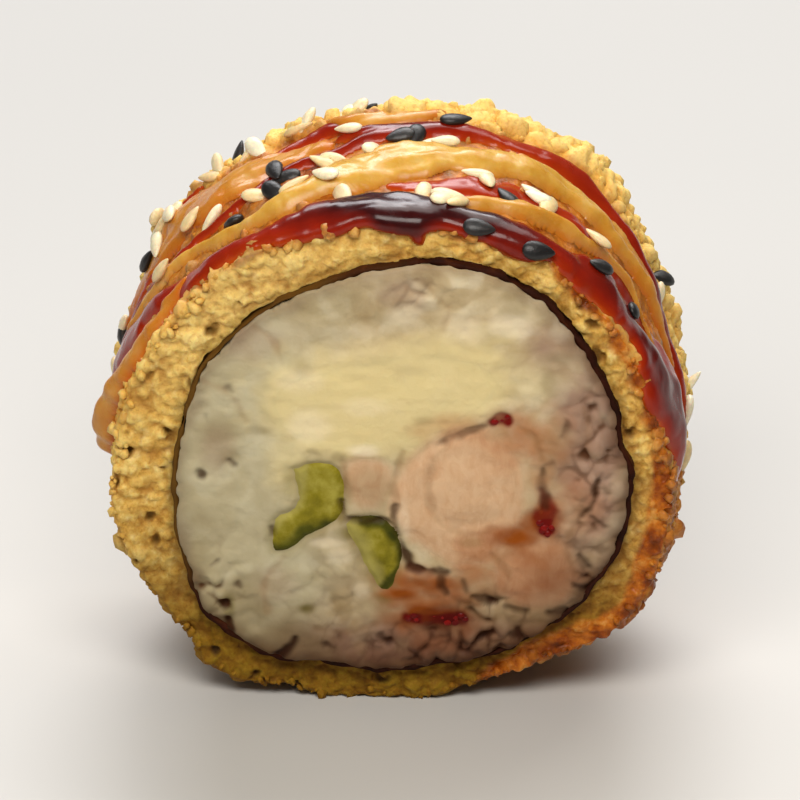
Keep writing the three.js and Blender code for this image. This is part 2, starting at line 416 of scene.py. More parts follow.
class Finish:
    """A material whose nodes are added one call at a time. Colours are given as they look on screen."""

    def __init__(self, name, **sockets):
        self.material = bpy.data.materials.new(name)
        self.material.use_nodes = True
        self.nodes, self.links = self.material.node_tree.nodes, self.material.node_tree.links
        self.shader = next(n for n in self.nodes if n.type == "BSDF_PRINCIPLED")
        self.place = self.nodes.new("ShaderNodeTexCoord").outputs["Object"]
        for key, value in sockets.items():
            self.shader.inputs[key.replace("_", " ")].default_value = value

    def node(self, kind, **inputs):
        """A new node with those inputs, each a plain value or another node's output."""
        node = self.nodes.new("ShaderNode" + kind)
        for key, value in inputs.items():
            self.set_input(node.inputs[key], value)
        return node

    def set_input(self, socket, value):
        """Sets a socket to a plain value, or links another node's output to it."""
        if isinstance(value, bpy.types.NodeSocket):
            self.links.new(value, socket)
        else:
            socket.default_value = value

    def value(self, name, most=1.0):
        """A mesh's named value, times that most."""
        node = self.node("Attribute")
        node.attribute_name = name
        return node.outputs["Fac"] if most == 1 else self.math("MULTIPLY", node.outputs["Fac"], most)

    def noise(self, size, detail=3.0, roughness=0.55, stretch=None, distortion=0.0):
        """Noise through the piece, with bumps of that size."""
        place = self.node("Mapping", Scale=stretch, Vector=self.place).outputs[0] if stretch else self.place
        inputs = {"Scale": 1 / size, "Detail": detail, "Roughness": roughness, "Distortion": distortion}
        return self.node("TexNoise", Vector=place, **inputs).outputs["Fac"]

    def ramp(self, factor, *stops):
        """A colour or grey by a factor; each stop is its place and then a grey, or a red, green and blue."""
        node = self.node("ValToRGB", Fac=factor)
        elements = node.color_ramp.elements
        while len(elements) < len(stops):
            elements.new(0.5)
        for element, (place, *colour) in zip(elements, stops):
            element.position = place
            element.color = linear(colour) if len(colour) == 3 else colour * 3 + [1]
        return node.outputs["Color"]

    def mix(self, factor, base, colour, blend="MIX"):
        """A colour mixed onto the base, or multiplied with it."""
        node = self.node("Mix")
        node.data_type = "RGBA"
        node.blend_type = blend
        colour = linear(colour) if isinstance(colour, tuple) else colour
        for socket, value in ((0, factor), (6, base), (7, colour)):
            self.set_input(node.inputs[socket], value)
        return node.outputs[2]

    def math(self, operation, first, second):
        node = self.node("Math")
        node.operation = operation
        self.set_input(node.inputs[0], first)
        self.set_input(node.inputs[1], second)
        return node.outputs[0]

    def bump(self, height, depth):
        """Adds relief of that depth on top of any relief already there."""
        node = self.node("Bump", Strength=1.0, Distance=depth, Height=height)
        earlier = self.shader.inputs["Normal"].links
        if earlier:
            self.links.new(earlier[0].from_socket, node.inputs["Normal"])
        self.links.new(node.outputs["Normal"], self.shader.inputs["Normal"])

    def colour(self, value):
        self.set_input(self.shader.inputs["Base Color"], value)

    def roughness(self, value):
        self.set_input(self.shader.inputs["Roughness"], value)


def food(name, radius, depth, shine, weight=0.2, **sockets):
    """A finish for food that light sinks into, to that depth in millimetres."""
    finish = Finish(name, Subsurface_Weight=weight, Subsurface_Scale=depth * MM, **sockets)
    finish.shader.inputs["Subsurface Radius"].default_value = radius
    finish.shader.inputs["Specular IOR Level"].default_value = shine
    return finish


def crust_finish():
    """Golden crumb: pale on its peaks as a painted highlight, brown in its gaps and holes as painted shade,
    stained and shiny where sauce has soaked in.
    """
    finish = food("fried crust", (1.0, 0.55, 0.15), 0.8, 0.2)
    patches = finish.noise(3.0 * MM, detail=5)
    crumb = finish.noise(1.1 * MM, detail=5, roughness=0.62)
    grain = finish.noise(0.4 * MM, detail=3, roughness=0.6)
    fried = finish.ramp(patches, (0.3, 224, 156, 58), (0.5, 244, 188, 88), (0.72, 255, 214, 124))
    bread = (0.28, 176, 130, 46), (0.42, 222, 174, 82), (0.56, 234, 196, 106), (0.72, 250, 224, 150)
    base = finish.mix(finish.value("cut"), fried, finish.ramp(crumb, *bread))
    # painted highlight on the peaks, painted shade in the low gaps and in the holes
    base = finish.mix(finish.value("peak_highlight", 0.55), base, (255, 228, 146))
    base = finish.mix(finish.value("low", 0.7), base, (164, 106, 34))
    base = finish.mix(finish.value("hole_shade", 0.9), base, (92, 64, 8))
    speckle = finish.ramp(grain, (0.3, 206, 168, 104), (0.5, 255, 255, 255))
    base = finish.mix(0.45, base, speckle, "MULTIPLY")
    # painted shade low down and along the inner edge by the seaweed
    base = finish.mix(finish.value("dusk"), base, (154, 138, 56), "MULTIPLY")
    soaked = (0.3, 96, 42, 8), (0.45, 150, 70, 10), (0.58, 198, 114, 30), (0.72, 222, 166, 82)
    stain = finish.ramp(finish.noise(2.2 * MM, detail=4, roughness=0.6), *soaked)
    glaze = finish.value("glaze")
    finish.colour(finish.mix(glaze, base, stain))
    finish.roughness(finish.ramp(glaze, (0.0, 0.7), (1.0, 0.25)))
    finish.bump(crumb, 0.22 * MM)
    finish.bump(grain, 0.09 * MM)
    return finish.material


def nori_finish():
    """Wet seaweed sheet: nearly black, browner in patches, with a matted fine relief."""
    finish = Finish("nori sheet", Roughness=0.75, Specular_IOR_Level=0.12)
    patches = finish.noise(1.8 * MM, detail=4)
    dark = finish.ramp(patches, (0.3, 34, 10, 2), (0.55, 54, 18, 4), (0.75, 80, 38, 10))
    finish.colour(finish.mix(finish.value("brown_share", 0.7), dark, (112, 78, 24)))
    finish.bump(finish.noise(0.45 * MM, detail=4, roughness=0.7), 0.1 * MM)
    return finish.material


# How the tints of the cut faces colour whatever is there, from the first to the last: (tint, most, colour).
# The grey shade, the grooves, the hollows and the creases are painted shade; the purple and olive tints are
# partly painted shade, and the bright tint is partly painted highlight.
FACE_LAYERS = [
    ("cool", 0.5, (184, 180, 148)),
    ("purple", 0.8, (156, 120, 104)),
    ("cheese", 0.9, (236, 216, 156)),
    ("meat", 0.9, (224, 184, 144)),
    ("warm", 0.9, (182, 118, 72)),
    ("shade", 0.65, (136, 116, 76)),
    ("bright", 0.75, (254, 238, 206)),
    ("olive", 0.95, (108, 94, 14)),
    ("groove", 0.75, (142, 98, 54)),
    ("film", 1.0, (152, 76, 14)),
    ("dip", 0.95, (86, 48, 22)),
    ("blood", 1.0, (112, 8, 2)),
    ("crease", 1.0, (62, 32, 8)),
]
FACE_TINTS = ["tone", "dusk"] + [layer[0] for layer in FACE_LAYERS]


def cut_colour(finish):
    """The colour of rice, cheese and shrimp where the knife went, alike on both sides of their borders."""
    tones = (0.1, 180, 156, 116), (0.45, 204, 184, 146), (0.9, 228, 214, 182)
    base = finish.ramp(finish.value("tone"), *tones)
    clouds = finish.ramp(finish.noise(1.8 * MM, detail=4), (0.3, 228, 222, 206), (0.6, 255, 255, 255))
    base = finish.mix(0.6, base, clouds, "MULTIPLY")
    for tint, most, colour in FACE_LAYERS:
        base = finish.mix(finish.value(tint, most), base, colour)
    # painted shade towards the bottom of the cut faces
    base = finish.mix(finish.value("dusk"), base, (158, 126, 102), "MULTIPLY")
    fibres = finish.noise(1.0 * MM, detail=4, roughness=0.6, stretch=(1.0, 1.0, 0.5), distortion=0.8)
    fibres = finish.ramp(fibres, (0.35, 222, 184, 150), (0.6, 255, 255, 255))
    return finish.mix(finish.value("meat", 0.3), base, fibres, "MULTIPLY")


def cut_finish(name, roughness, shine):
    """A moist cut surface, whose borders with the other cut surfaces show by their tints alone."""
    finish = food(name, (1.0, 0.75, 0.5), 0.5, shine)
    finish.colour(cut_colour(finish))
    finish.roughness(finish.ramp(finish.noise(1.4 * MM), (0.35, roughness), (0.7, roughness + 0.22)))
    finish.bump(finish.noise(0.45 * MM), 0.05 * MM)
    return finish.material


def cucumber_finish():
    """Cut cucumber: wet yellow-green flesh, paler in streaks, and a dark green skin, with painted shade in
    its creases.
    """
    finish = food("cucumber", (0.8, 1.0, 0.3), 0.5, 0.16, Roughness=0.5)
    clouds = finish.noise(1.6 * MM, detail=4)
    flesh = finish.ramp(clouds, (0.3, 110, 100, 10), (0.5, 142, 130, 28), (0.72, 172, 160, 66))
    flesh = finish.mix(finish.value("pale", 0.6), flesh, (180, 168, 96))
    skin = finish.ramp(clouds, (0.3, 56, 58, 4), (0.7, 92, 90, 12))
    base = finish.mix(finish.value("skin"), flesh, skin)
    # painted shade in the creases
    finish.colour(finish.mix(finish.value("crease"), base, (52, 28, 2)))
    finish.bump(finish.noise(0.4 * MM), 0.06 * MM)
    return finish.material


def roe_finish():
    """Deep red beads, each in its own shade."""
    finish = food("roe beads", (1.0, 0.25, 0.1), 0.4, 0.2, weight=0.25, Roughness=0.36)
    base = finish.ramp(finish.value("tint"), (0.0, 88, 4, 2), (1.0, 140, 12, 4))
    spots = finish.ramp(finish.noise(0.5 * MM), (0.4, 190, 120, 100), (0.6, 255, 255, 255))
    finish.colour(finish.mix(0.2, base, spots, "MULTIPLY"))
    return finish.material


def dark_sauce_finish():
    """Eel sauce: clear orange-red where thin, nearly black where deep, and glossy."""
    finish = food("dark sauce", (1.0, 0.3, 0.1), 0.7, 0.28)
    strength = finish.math("ADD", finish.value("deep", 0.75), 0.35)
    depth = finish.math("MULTIPLY", finish.value("depth"), strength)
    clouds = finish.noise(2.0 * MM, stretch=(1, 2.5, 1))
    depth = finish.math("ADD", depth, finish.math("MULTIPLY", clouds, 0.2))
    thin = (0.1, 184, 76, 10), (0.28, 160, 44, 6), (0.52, 140, 28, 8)
    finish.colour(finish.ramp(depth, *thin, (0.78, 98, 18, 10), (1.0, 54, 12, 12)))
    finish.roughness(finish.ramp(finish.noise(2.0 * MM), (0.3, 0.14), (0.7, 0.28)))
    finish.bump(finish.noise(1.6 * MM, detail=2), 0.04 * MM)
    return finish.material


def mayo_finish():
    """Mayonnaise sauce: yellow where thick, orange-brown where thin or stained, satin gloss."""
    finish = food("mayo sauce", (1.0, 0.55, 0.15), 0.8, 0.3, weight=0.3)
    yellows = (0.3, 198, 142, 44), (0.55, 212, 166, 74), (0.8, 226, 196, 124)
    base = finish.ramp(finish.noise(2.5 * MM), *yellows)
    brown_share = finish.math("ADD", finish.value("thin", 0.9), finish.value("stained"))
    finish.colour(finish.mix(finish.math("MULTIPLY", brown_share, 0.6), base, (190, 98, 12)))
    finish.roughness(finish.ramp(finish.noise(1.8 * MM), (0.3, 0.2), (0.7, 0.36)))
    finish.bump(finish.noise(0.8 * MM), 0.05 * MM)
    return finish.material


def seed_finish(name, dark, pale):
    """Sesame: each seed between a dark and a pale shade, with faint spots."""
    finish = Finish(name, Roughness=0.42, Subsurface_Weight=0.2, Subsurface_Scale=0.4 * MM)
    spots = finish.ramp(finish.noise(0.6 * MM), (0.35, 0.72), (0.6, 1.0))
    base = finish.ramp(finish.value("tint"), (0.0, *pale), (1.0, *dark))
    finish.colour(finish.mix(0.6, base, spots, "MULTIPLY"))
    finish.bump(finish.noise(0.3 * MM, detail=2), 0.04 * MM)
    return finish.material


# ---------------------------------------------------------------- sauces

# Each stroke of sauce, as rows of:
# (turn in degrees, mm behind the middle, width in mm, height in mm, how deep its colour is)
DARK_STROKES = [
    # the front stroke, from the left side over the top and down into the pool on the right
    [
        (-95, -3.0, 1.2, 0.4, 0.3), (-86, -2.0, 2.6, 0.7, 0.5), (-76, -2.4, 3.6, 0.8, 0.5),
        (-66, -4.6, 3.8, 0.8, 0.4), (-56, -6.6, 3.6, 0.8, 0.3), (-44, -8.2, 3.2, 0.8, 0.3),
        (-32, -9.3, 3.2, 0.8, 0.3), (-20, -9.4, 3.8, 0.9, 0.5), (-8, -8.7, 5.4, 1.1, 0.9),
        (4, -9.0, 5.4, 1.2, 1.0), (15, -9.8, 4.2, 1.0, 0.9), (26, -10.0, 3.8, 0.9, 0.6),
        (36, -9.4, 3.8, 0.9, 0.45), (46, -8.4, 4.0, 0.9, 0.45), (57, -7.7, 5.0, 1.0, 0.6),
        (68, -8.0, 6.2, 1.1, 0.55), (79, -7.8, 6.0, 1.1, 0.5), (89, -7.4, 4.4, 0.9, 0.5),
        (97, -7.2, 2.0, 0.5, 0.4),
    ],
    # the tongue that hangs over the front rim
    [
        (0, -10.5, 3.2, 0.9, 1.0), (3, -11.5, 2.0, 0.7, 1.0), (4, -12.2, 1.2, 0.5, 0.9),
        (5, -12.8, 0.6, 0.3, 0.8),
    ],
    # the thin line behind the mayonnaise on the left shoulder
    [
        (-79, 0.6, 1.5, 0.7, 0.8), (-64, -0.9, 1.4, 0.7, 0.8), (-54, -1.6, 1.2, 0.7, 0.7),
        (-45, -1.0, 1.2, 0.6, 0.7), (-35, 0.0, 1.4, 0.6, 0.8), (-28, 1.6, 1.8, 0.7, 0.8),
        (-18, 2.4, 1.5, 0.7, 0.6), (-8, 3.4, 1.7, 0.7, 0.7), (3, 4.6, 1.7, 0.7, 0.8),
    ],
    # the stroke along the back, which comes down into the pool; its paler colour over the top right is a
    # painted highlight
    [
        (-14, 5.2, 1.0, 0.6, 0.6), (0, 5.4, 2.2, 0.8, 0.8), (13, 6.0, 2.7, 0.8, 0.3),
        (28, 6.3, 2.8, 0.8, 0.1), (38, 6.2, 2.6, 0.8, 0.1), (48, 5.0, 2.4, 0.8, 0.2),
        (57, 4.0, 2.2, 0.8, 0.4), (66, 3.6, 2.2, 0.9, 0.6), (76, 2.4, 2.4, 0.8, 0.5),
        (87, 0.5, 2.0, 0.6, 0.5), (95, -1.5, 1.2, 0.4, 0.4),
    ],
    # the thin layer between the two lines of mayonnaise on the right, down into the pool
    [
        (-2, -4.4, 1.6, 0.3, 0.3), (8, -4.4, 3.0, 0.5, 0.3), (20, -3.6, 3.8, 0.5, 0.3),
        (32, -2.9, 3.8, 0.5, 0.3), (44, -2.6, 4.0, 0.5, 0.4), (56, -3.2, 4.6, 0.6, 0.5),
        (68, -4.5, 4.0, 0.7, 0.5), (80, -4.6, 3.0, 0.6, 0.5),
    ],
    # dabs at the back left
    [
        (-30, 6.6, 1.4, 0.4, 0.5), (-21, 7.6, 2.2, 0.6, 0.7), (-13, 7.9, 2.6, 0.6, 0.7),
        (-5, 8.4, 1.6, 0.5, 0.6),
    ],
    [(-70, 8.2, 0.9, 0.4, 0.7), (-60, 9.4, 1.5, 0.5, 0.8), (-49, 10.0, 1.0, 0.4, 0.6)],
    [(-82, 3.4, 1.0, 0.4, 0.5), (-66, 3.6, 1.2, 0.4, 0.5), (-50, 3.0, 0.9, 0.3, 0.4)],
]
MAYO_STROKES = [
    # the main stroke, thin on the left shoulder and wide over the top
    [
        (-72, -1.4, 1.0, 0.7, 0.2), (-60, -2.4, 1.3, 0.8, 0.0), (-50, -3.1, 1.4, 0.9, 0.0),
        (-40, -4.4, 1.6, 0.9, 0.0), (-30, -5.4, 2.0, 1.0, 0.0), (-22, -4.9, 3.2, 1.1, 0.0),
        (-14, -3.2, 4.8, 1.2, 0.0), (-7, -1.6, 5.4, 1.2, 0.0), (1, -0.3, 5.0, 1.2, 0.0),
        (10, 0.7, 4.4, 1.2, 0.0), (20, 1.2, 4.0, 1.2, 0.0), (30, 2.1, 3.6, 1.2, 0.1),
        (41, 2.4, 3.0, 1.1, 0.2), (50, 2.0, 2.2, 1.0, 0.3), (60, 1.6, 1.9, 0.9, 0.4),
        (70, 1.0, 1.6, 0.8, 0.5), (80, -0.2, 1.0, 0.6, 0.6),
    ],
    # the thin line over the front stroke on the right
    [
        (6, -6.9, 0.8, 0.8, 0.5), (14, -6.8, 1.5, 1.2, 0.4), (24, -6.2, 1.8, 1.3, 0.4),
        (34, -5.4, 1.6, 1.3, 0.4), (44, -4.2, 1.0, 1.0, 0.5), (54, -3.4, 0.8, 0.9, 0.4),
        (62, -4.2, 0.7, 0.9, 0.3), (68, -5.4, 0.5, 0.8, 0.3),
    ],
    # the drip that passes under the front stroke and ends on the left side
    [
        (-50, -7.4, 1.4, 0.5, 0.9), (-60, -8.8, 2.2, 0.7, 0.8), (-68, -9.0, 2.6, 0.9, 0.6),
        (-76, -8.5, 2.8, 1.3, 0.5), (-83, -7.5, 2.9, 1.7, 0.4), (-89, -6.7, 3.0, 1.9, 0.4),
        (-92, -6.5, 2.2, 1.6, 0.5),
    ],
    # the smear on the left shoulder
    [
        (-84, 5.6, 2.6, 0.4, 0.8), (-74, 6.6, 4.6, 0.6, 0.8), (-62, 6.2, 6.4, 0.7, 0.7),
        (-50, 5.2, 7.0, 0.7, 0.7), (-38, 4.4, 6.4, 0.7, 0.7), (-28, 4.6, 4.2, 0.6, 0.7),
        (-18, 5.0, 2.6, 0.5, 0.7),
    ],
    [(-16, 9.4, 1.8, 0.5, 0.7), (-9, 7.4, 2.8, 0.7, 0.6), (-1, 8.2, 2.2, 0.6, 0.5), (7, 9.2, 1.2, 0.4, 0.6)],
    # the thread between the back stroke and the main stroke on the right side
    [
        (24, 4.4, 0.8, 0.7, 0.5), (38, 4.3, 1.0, 0.8, 0.4), (52, 3.2, 0.9, 0.8, 0.4),
        (64, 2.6, 0.8, 0.7, 0.4), (76, 0.9, 0.6, 0.6, 0.5),
    ],
]
STROKE_STEP = 0.35 * MM  # between the rows of a stroke
SHEET_STEP = 0.23 * MM  # between the points of a sheet of sauce
SHEET_SINK = 1.1 * MM  # how far a sheet's underside lies below the crust's face
SHEET_REACH = math.radians(106)  # how far a sheet may run down each side, from the top
DARK_SEED, MAYO_SEED = 100, 300  # where the random numbers of each sauce start


def stroke_rows(stroke, seed):
    """The stroke's rows in radians and metres, close together, with a hand's unevenness."""
    rough = np.asarray(stroke, float)
    count = int(len(rough) * 4 * MM / STROKE_STEP)
    rows = spline(rough * (math.pi / 180, MM, MM, MM, 1), count)
    along = np.stack([np.arange(count) * STROKE_STEP, np.full(count, seed * 0.1), np.zeros(count)], axis=1)
    wander = 0.3 * MM * noise(along, 4 * MM, seed) + 0.12 * MM * noise(along, 1.5 * MM, seed + 4)
    rows[:, 1] += wander
    rows[:, 2:4] *= 1 + 0.15 * np.stack([noise(along, 3.5 * MM, seed + i) for i in (1, 3)], axis=1)
    return rows


DARK_ROWS = [stroke_rows(stroke, DARK_SEED + 10 * i) for i, stroke in enumerate(DARK_STROKES)]
MAYO_ROWS = [stroke_rows(stroke, MAYO_SEED + 10 * i) for i, stroke in enumerate(MAYO_STROKES)]


def close_to(places, line, reach):
    """The numbers of the flat places that lie in a box round a line, within that reach."""
    return np.flatnonzero(((places > line.min(0) - reach) & (places < line.max(0) + reach)).all(axis=1))


def poured(turn, behind, all_rows, seed, streak):
    """How thick the strokes' sauce lies at each place, negative beside them, and how deep its colour is."""
    radius = crust_out.table.mean()
    places = np.stack([turn * radius, behind], axis=-1).reshape(-1, 2)
    total, tone = np.full(len(places), -3 * MM), np.zeros(len(places))  # dry, until a stroke is laid
    for number, rows in enumerate(all_rows):
        line = rows[:, :2] * (radius, 1)
        ahead = np.gradient(line, axis=0)
        ahead /= np.linalg.norm(ahead, axis=1, keepdims=True)
        reach = rows[:, 2].max() / 2 + 2 * MM
        near = close_to(places, line, reach)
        parts = np.array_split(near, max(1, len(near) // 6000))
        gaps = (((places[part, None, :] - line[None]) ** 2).sum(-1) for part in parts)
        nearest = np.concatenate([gap.argmin(axis=1) for gap in gaps])
        away = places[near] - line[nearest]
        along = nearest * STROKE_STEP + (away * ahead[nearest]).sum(axis=1)
        across = away[:, 0] * -ahead[nearest, 1] + away[:, 1] * ahead[nearest, 0]
        own = 7.0 * number * MM + 0 * along
        grain = np.stack([along, 4 * MM * np.sign(across) + seed * MM, own], axis=1)
        half = 1 + 0.22 * noise(grain, 2.4 * MM, seed) + 0.12 * noise(grain, 1.0 * MM, seed + 1)
        half *= rows[nearest, 2] / 2
        share = np.linalg.norm(away, axis=1) / half
        thick = rows[nearest, 3] * np.sqrt(np.clip(1 - share**2, 0, 1)) - np.maximum(share - 1, 0) * half
        lines = np.stack([along / 9, across, own], axis=1)
        streaks = noise(lines, 0.75 * MM, seed + 2) + 0.6 * noise(lines, 0.4 * MM, seed + 3)
        swell = noise(np.stack([along, across, own], axis=1), 1.8 * MM, seed + 4)
        thick += rows[nearest, 3] * (streak * streaks + 0.16 * swell) * ramped(share, 1.0, 0.8)
        weight = ramped(thick - total[near], -0.25 * MM, 0.25 * MM)
        tone[near] = tone[near] * (1 - weight) + rows[nearest, 4] * weight
        total[near] = soft_max(total[near], thick, 0.2 * MM)
    return total.reshape(turn.shape), tone.reshape(turn.shape)


def blurred(grid, passes):
    """A grid of values, each averaged with its neighbours a few times."""
    for _ in range(passes):
        padded = np.pad(grid, 1, mode="edge")
        grid = (padded[:-2, 1:-1] + padded[2:, 1:-1] + padded[1:-1, :-2] + padded[1:-1, 2:] + grid) / 5
    return grid


def sheet_grid():
    """The turns and depths of the points of a sheet of sauce, from over the front rim to the back."""
    columns = int(2 * SHEET_REACH * crust_out.table.mean() / SHEET_STEP)
    front, back = -HALF_LENGTH - 3.4 * MM, HALF_LENGTH - 0.6 * MM
    return np.meshgrid(np.linspace(-SHEET_REACH, SHEET_REACH, columns), np.arange(front, back, SHEET_STEP))


def make_sauce(name, turn, behind, thick, lift, material, values):
    """A closed sheet of sauce wherever it lies thick enough, its top at that lift off the crust's face."""
    wet = thick > -0.12 * MM
    cell = wet[:-1, :-1] & wet[1:, :-1] & wet[:-1, 1:] & wet[1:, 1:]
    index = np.arange(wet.size).reshape(wet.shape)
    corners = index[:-1, :-1], index[:-1, 1:], index[1:, 1:], index[1:, :-1]
    top = np.stack([part[cell] for part in corners], axis=1)
    sides = np.concatenate([top[:, [i, (i + 1) % 4]] for i in range(4)])
    keys = set(map(tuple, sides.tolist()))
    rim = np.array([s for s in sides.tolist() if (s[1], s[0]) not in keys])
    used, flat = np.unique(top, return_inverse=True)
    top = flat.reshape(top.shape)
    rim = np.searchsorted(used, rim)
    count = len(used)
    wall = np.stack([rim[:, 1], rim[:, 0], rim[:, 0] + count, rim[:, 1] + count], axis=1)
    place = turn.ravel()[used], behind.ravel()[used]
    upper = crust_place(*place, lift.ravel()[used])
    lower = crust_place(*place, np.full(count, -SHEET_SINK))
    faces = np.concatenate([top, top[:, ::-1] + count, wall]).tolist()
    values = {key: np.tile(value.ravel()[used], 2) for key, value in values.items()}
    obj = make_object(name, np.concatenate([upper, lower]), faces, material, values)
    dress(obj, name)
    return obj


def make_sauces(dark_material, mayo_material):
    """The dark sauce, and the mayonnaise that lies on it where they cross."""
    turn, behind = sheet_grid()
    ground = crust_place(turn, behind, 0 * turn)
    bumps = 0.2 * MM * (lumps(ground, 2.4 * MM, 10) - 0.4) + 0.06 * MM * noise(ground, 1.6 * MM, 110)
    dark, deep = (blurred(field, 5) for field in poured(turn, behind, DARK_ROWS, DARK_SEED, 0.08))
    mayo, stained = (blurred(field, 3) for field in poured(turn, behind, MAYO_ROWS, MAYO_SEED, 0.16))
    under = np.clip(dark, 0, None)
    wet_dark, wet_mayo = ramped(dark, 0, 0.3 * MM), ramped(mayo, 0, 0.3 * MM)
    thin = np.clip(1 - mayo / (0.75 * MM) + 0.25 * noise(ground, 1.6 * MM, 111), 0, 1)
    dark_lift = dark + bumps * (0.4 + 0.6 * wet_dark) * (1 - 0.7 * ramped(dark, 0.4 * MM, 0.9 * MM))
    mayo_lift = mayo + wet_mayo * (0.7 * under + 0.8 * bumps)
    dark_values = {"depth": np.clip(dark / (1.1 * MM), 0, 1), "deep": deep}
    down_the_sides = ramped(np.abs(turn), math.radians(35), math.radians(80))
    mayo_values = {"thin": thin, "stained": stained + 0.3 * down_the_sides}
    return [
        make_sauce("dark_sauce", turn, behind, dark, dark_lift, dark_material, dark_values),
        make_sauce("mayo_sauce", turn, behind, mayo, mayo_lift, mayo_material, mayo_values),
    ]


# ---------------------------------------------------------------- crust


def surface_place(points):
    """The turn from the top and the depth behind the middle of points on or near the crust."""
    turn = math.pi / 2 - radius_and_angle(points)[1]
    return (turn + math.pi) % (2 * math.pi) - math.pi, points[:, 1] - MIDDLE_Y


def lift_of(points):
    """How far points stand off the crust's face."""
    y = points[:, 1]
    radius, angle = radius_and_angle(points)
    front, back = crust_out.cut_ys(points[:, 2])
    face = crust_out.radius(angle, (y - front) / (back - front)) - CRUST_SINK
    return np.maximum(radius - face, np.maximum(front - y, y - back))


# The band of crust that sauce has soaked all over, as (turn in degrees, mm behind the middle)
BAND_FRONT = [
    (-100, -2), (-80, -2), (-68, -5.5), (-55, -8), (-35, -10.2), (0, -10.6), (30, -10.6), (60, -10.4),
    (95, -9),
]
BAND_BACK = [
    (-100, 2), (-80, 6), (-62, 9.5), (-40, 8.8), (-15, 8.2), (10, 7.6), (40, 7.4), (62, 5.4), (80, 4),
    (95, 1),
]


def in_band(points):
    """From 0 to 1 where the crust lies between the strokes of sauce."""
    turn, behind = surface_place(points)
    degrees = np.degrees(turn)
    front = np.interp(degrees, *np.array(BAND_FRONT).T) * MM
    back = np.interp(degrees, *np.array(BAND_BACK).T) * MM
    wander = 0.9 * MM * noise(points, 2.5 * MM, 62)
    within = ramped(behind - front + wander, -0.8 * MM, 0.8 * MM)
    within *= ramped(back - behind + wander, -1.0 * MM, 0.6 * MM)
    return within * ramped(np.abs(turn), math.radians(102), math.radians(92))


def glaze_at(points):
    """How much sauce has soaked the crust at each point: full in the band, fading beside each stroke."""
    turn, behind = surface_place(points)
    thick, _ = poured(turn, behind, DARK_ROWS, DARK_SEED, 0)
    soaked = ramped(thick, -0.9 * MM, -0.1 * MM)
    # the crust low on the right has drunk the sauce that ran down from the pool
    run = ramped(np.abs(turn - math.radians(122)), math.radians(40), math.radians(18))
    run = run * ramped(behind + 1.2 * MM * noise(points, 3 * MM, 63), 4 * MM, -4 * MM)
    patchy = 0.5 + 0.5 * noise(points, 1.6 * MM, 61)
    stained = np.maximum(in_band(points), run) * (0.7 + 0.4 * patchy)
    return np.clip(np.maximum(soaked * (0.4 + 0.5 * patchy), stained), 0, 1)


# How wide the soaked part of the front cut's crust is, as (turn in degrees, mm)
SOAKED_WIDTHS = [
    (-70, 0.0), (-50, 0.3), (-20, 0.5), (30, 0.8), (70, 1.4), (105, 2.3), (150, 2.6), (165, 0.0),
]


def soaked_rim(points):
    """From 0 to 1 on the outer part of the front cut's crust that sauce has reached: wide on the right."""
    turn, behind = surface_place(points)
    reach = np.interp(np.degrees(turn), *np.array(SOAKED_WIDTHS).T) * MM
    depth = crust_out.radius(math.pi / 2 - turn, 0.0) - radius_and_angle(points)[0]
    uneven = 0.7 * MM * noise(points, 1.8 * MM, 64)
    soaked = ramped(depth + uneven, reach + 0.4 * MM, reach - 0.5 * MM)
    return soaked * ramped(reach, 0, 0.6 * MM) * (behind < 0)


def crust_painted_shade(points):
    """How much painted shade the crust has: most where it rests and round the bottom of the front cut, and
    some along its inner edge by the seaweed.
    """
    _, behind = surface_place(points)
    low = ramped(points[:, 2] + 2 * MM * noise(points, 4 * MM, 65), 21 * MM, 6 * MM)
    radius, angle = radius_and_angle(points)
    inner = radius - nori_line(angle, RIM_SHARES[FRONT]) + 0.5 * MM * noise(points, 1.8 * MM, 66)
    under = np.clip(low * ramped(behind, 6 * MM, -6 * MM), 0, 1)
    return np.maximum(under, 0.5 * ramped(inner, 1.5 * MM, 0.2 * MM))


def crust_relief(points, cut, back):
    """Packed crumbs: coarse outside, coarser still along the back rim, soft where the crust is cut."""
    fine = 0.07 * lumps(points, 0.8 * MM, 12) + 0.06 * rough_noise(points, 0.7 * MM, 13)
    outer = 0.75 * lumps(points, 2.4 * MM, 10) + 0.4 * lumps(points, 1.2 * MM, 11) - 0.45
    chunks = 1.15 * lumps(points, 3.4 * MM, 18) - 0.25
    torn = 0.42 * lumps(points, 2.5 * MM, 14) + 0.34 * lumps(points, 1.25 * MM, 15)
    torn += 0.22 * rough_noise(points, 3 * MM, 16) + 0.12 * rough_noise(points, 0.9 * MM, 20) - 0.42
    return (outer * (1 - cut) + torn * cut + fine + chunks * back * (1 - cut)) * MM


def crust_holes(points):
    """From 0 to 1 in the scattered holes between crumbs."""
    near, _, value = cells(points, 2.3 * MM, 17)
    return ramped(near + 0.15 * noise(points, 0.6 * MM, 18), 0.34, 0.1) * ramped(value, 0.45, 0.65)


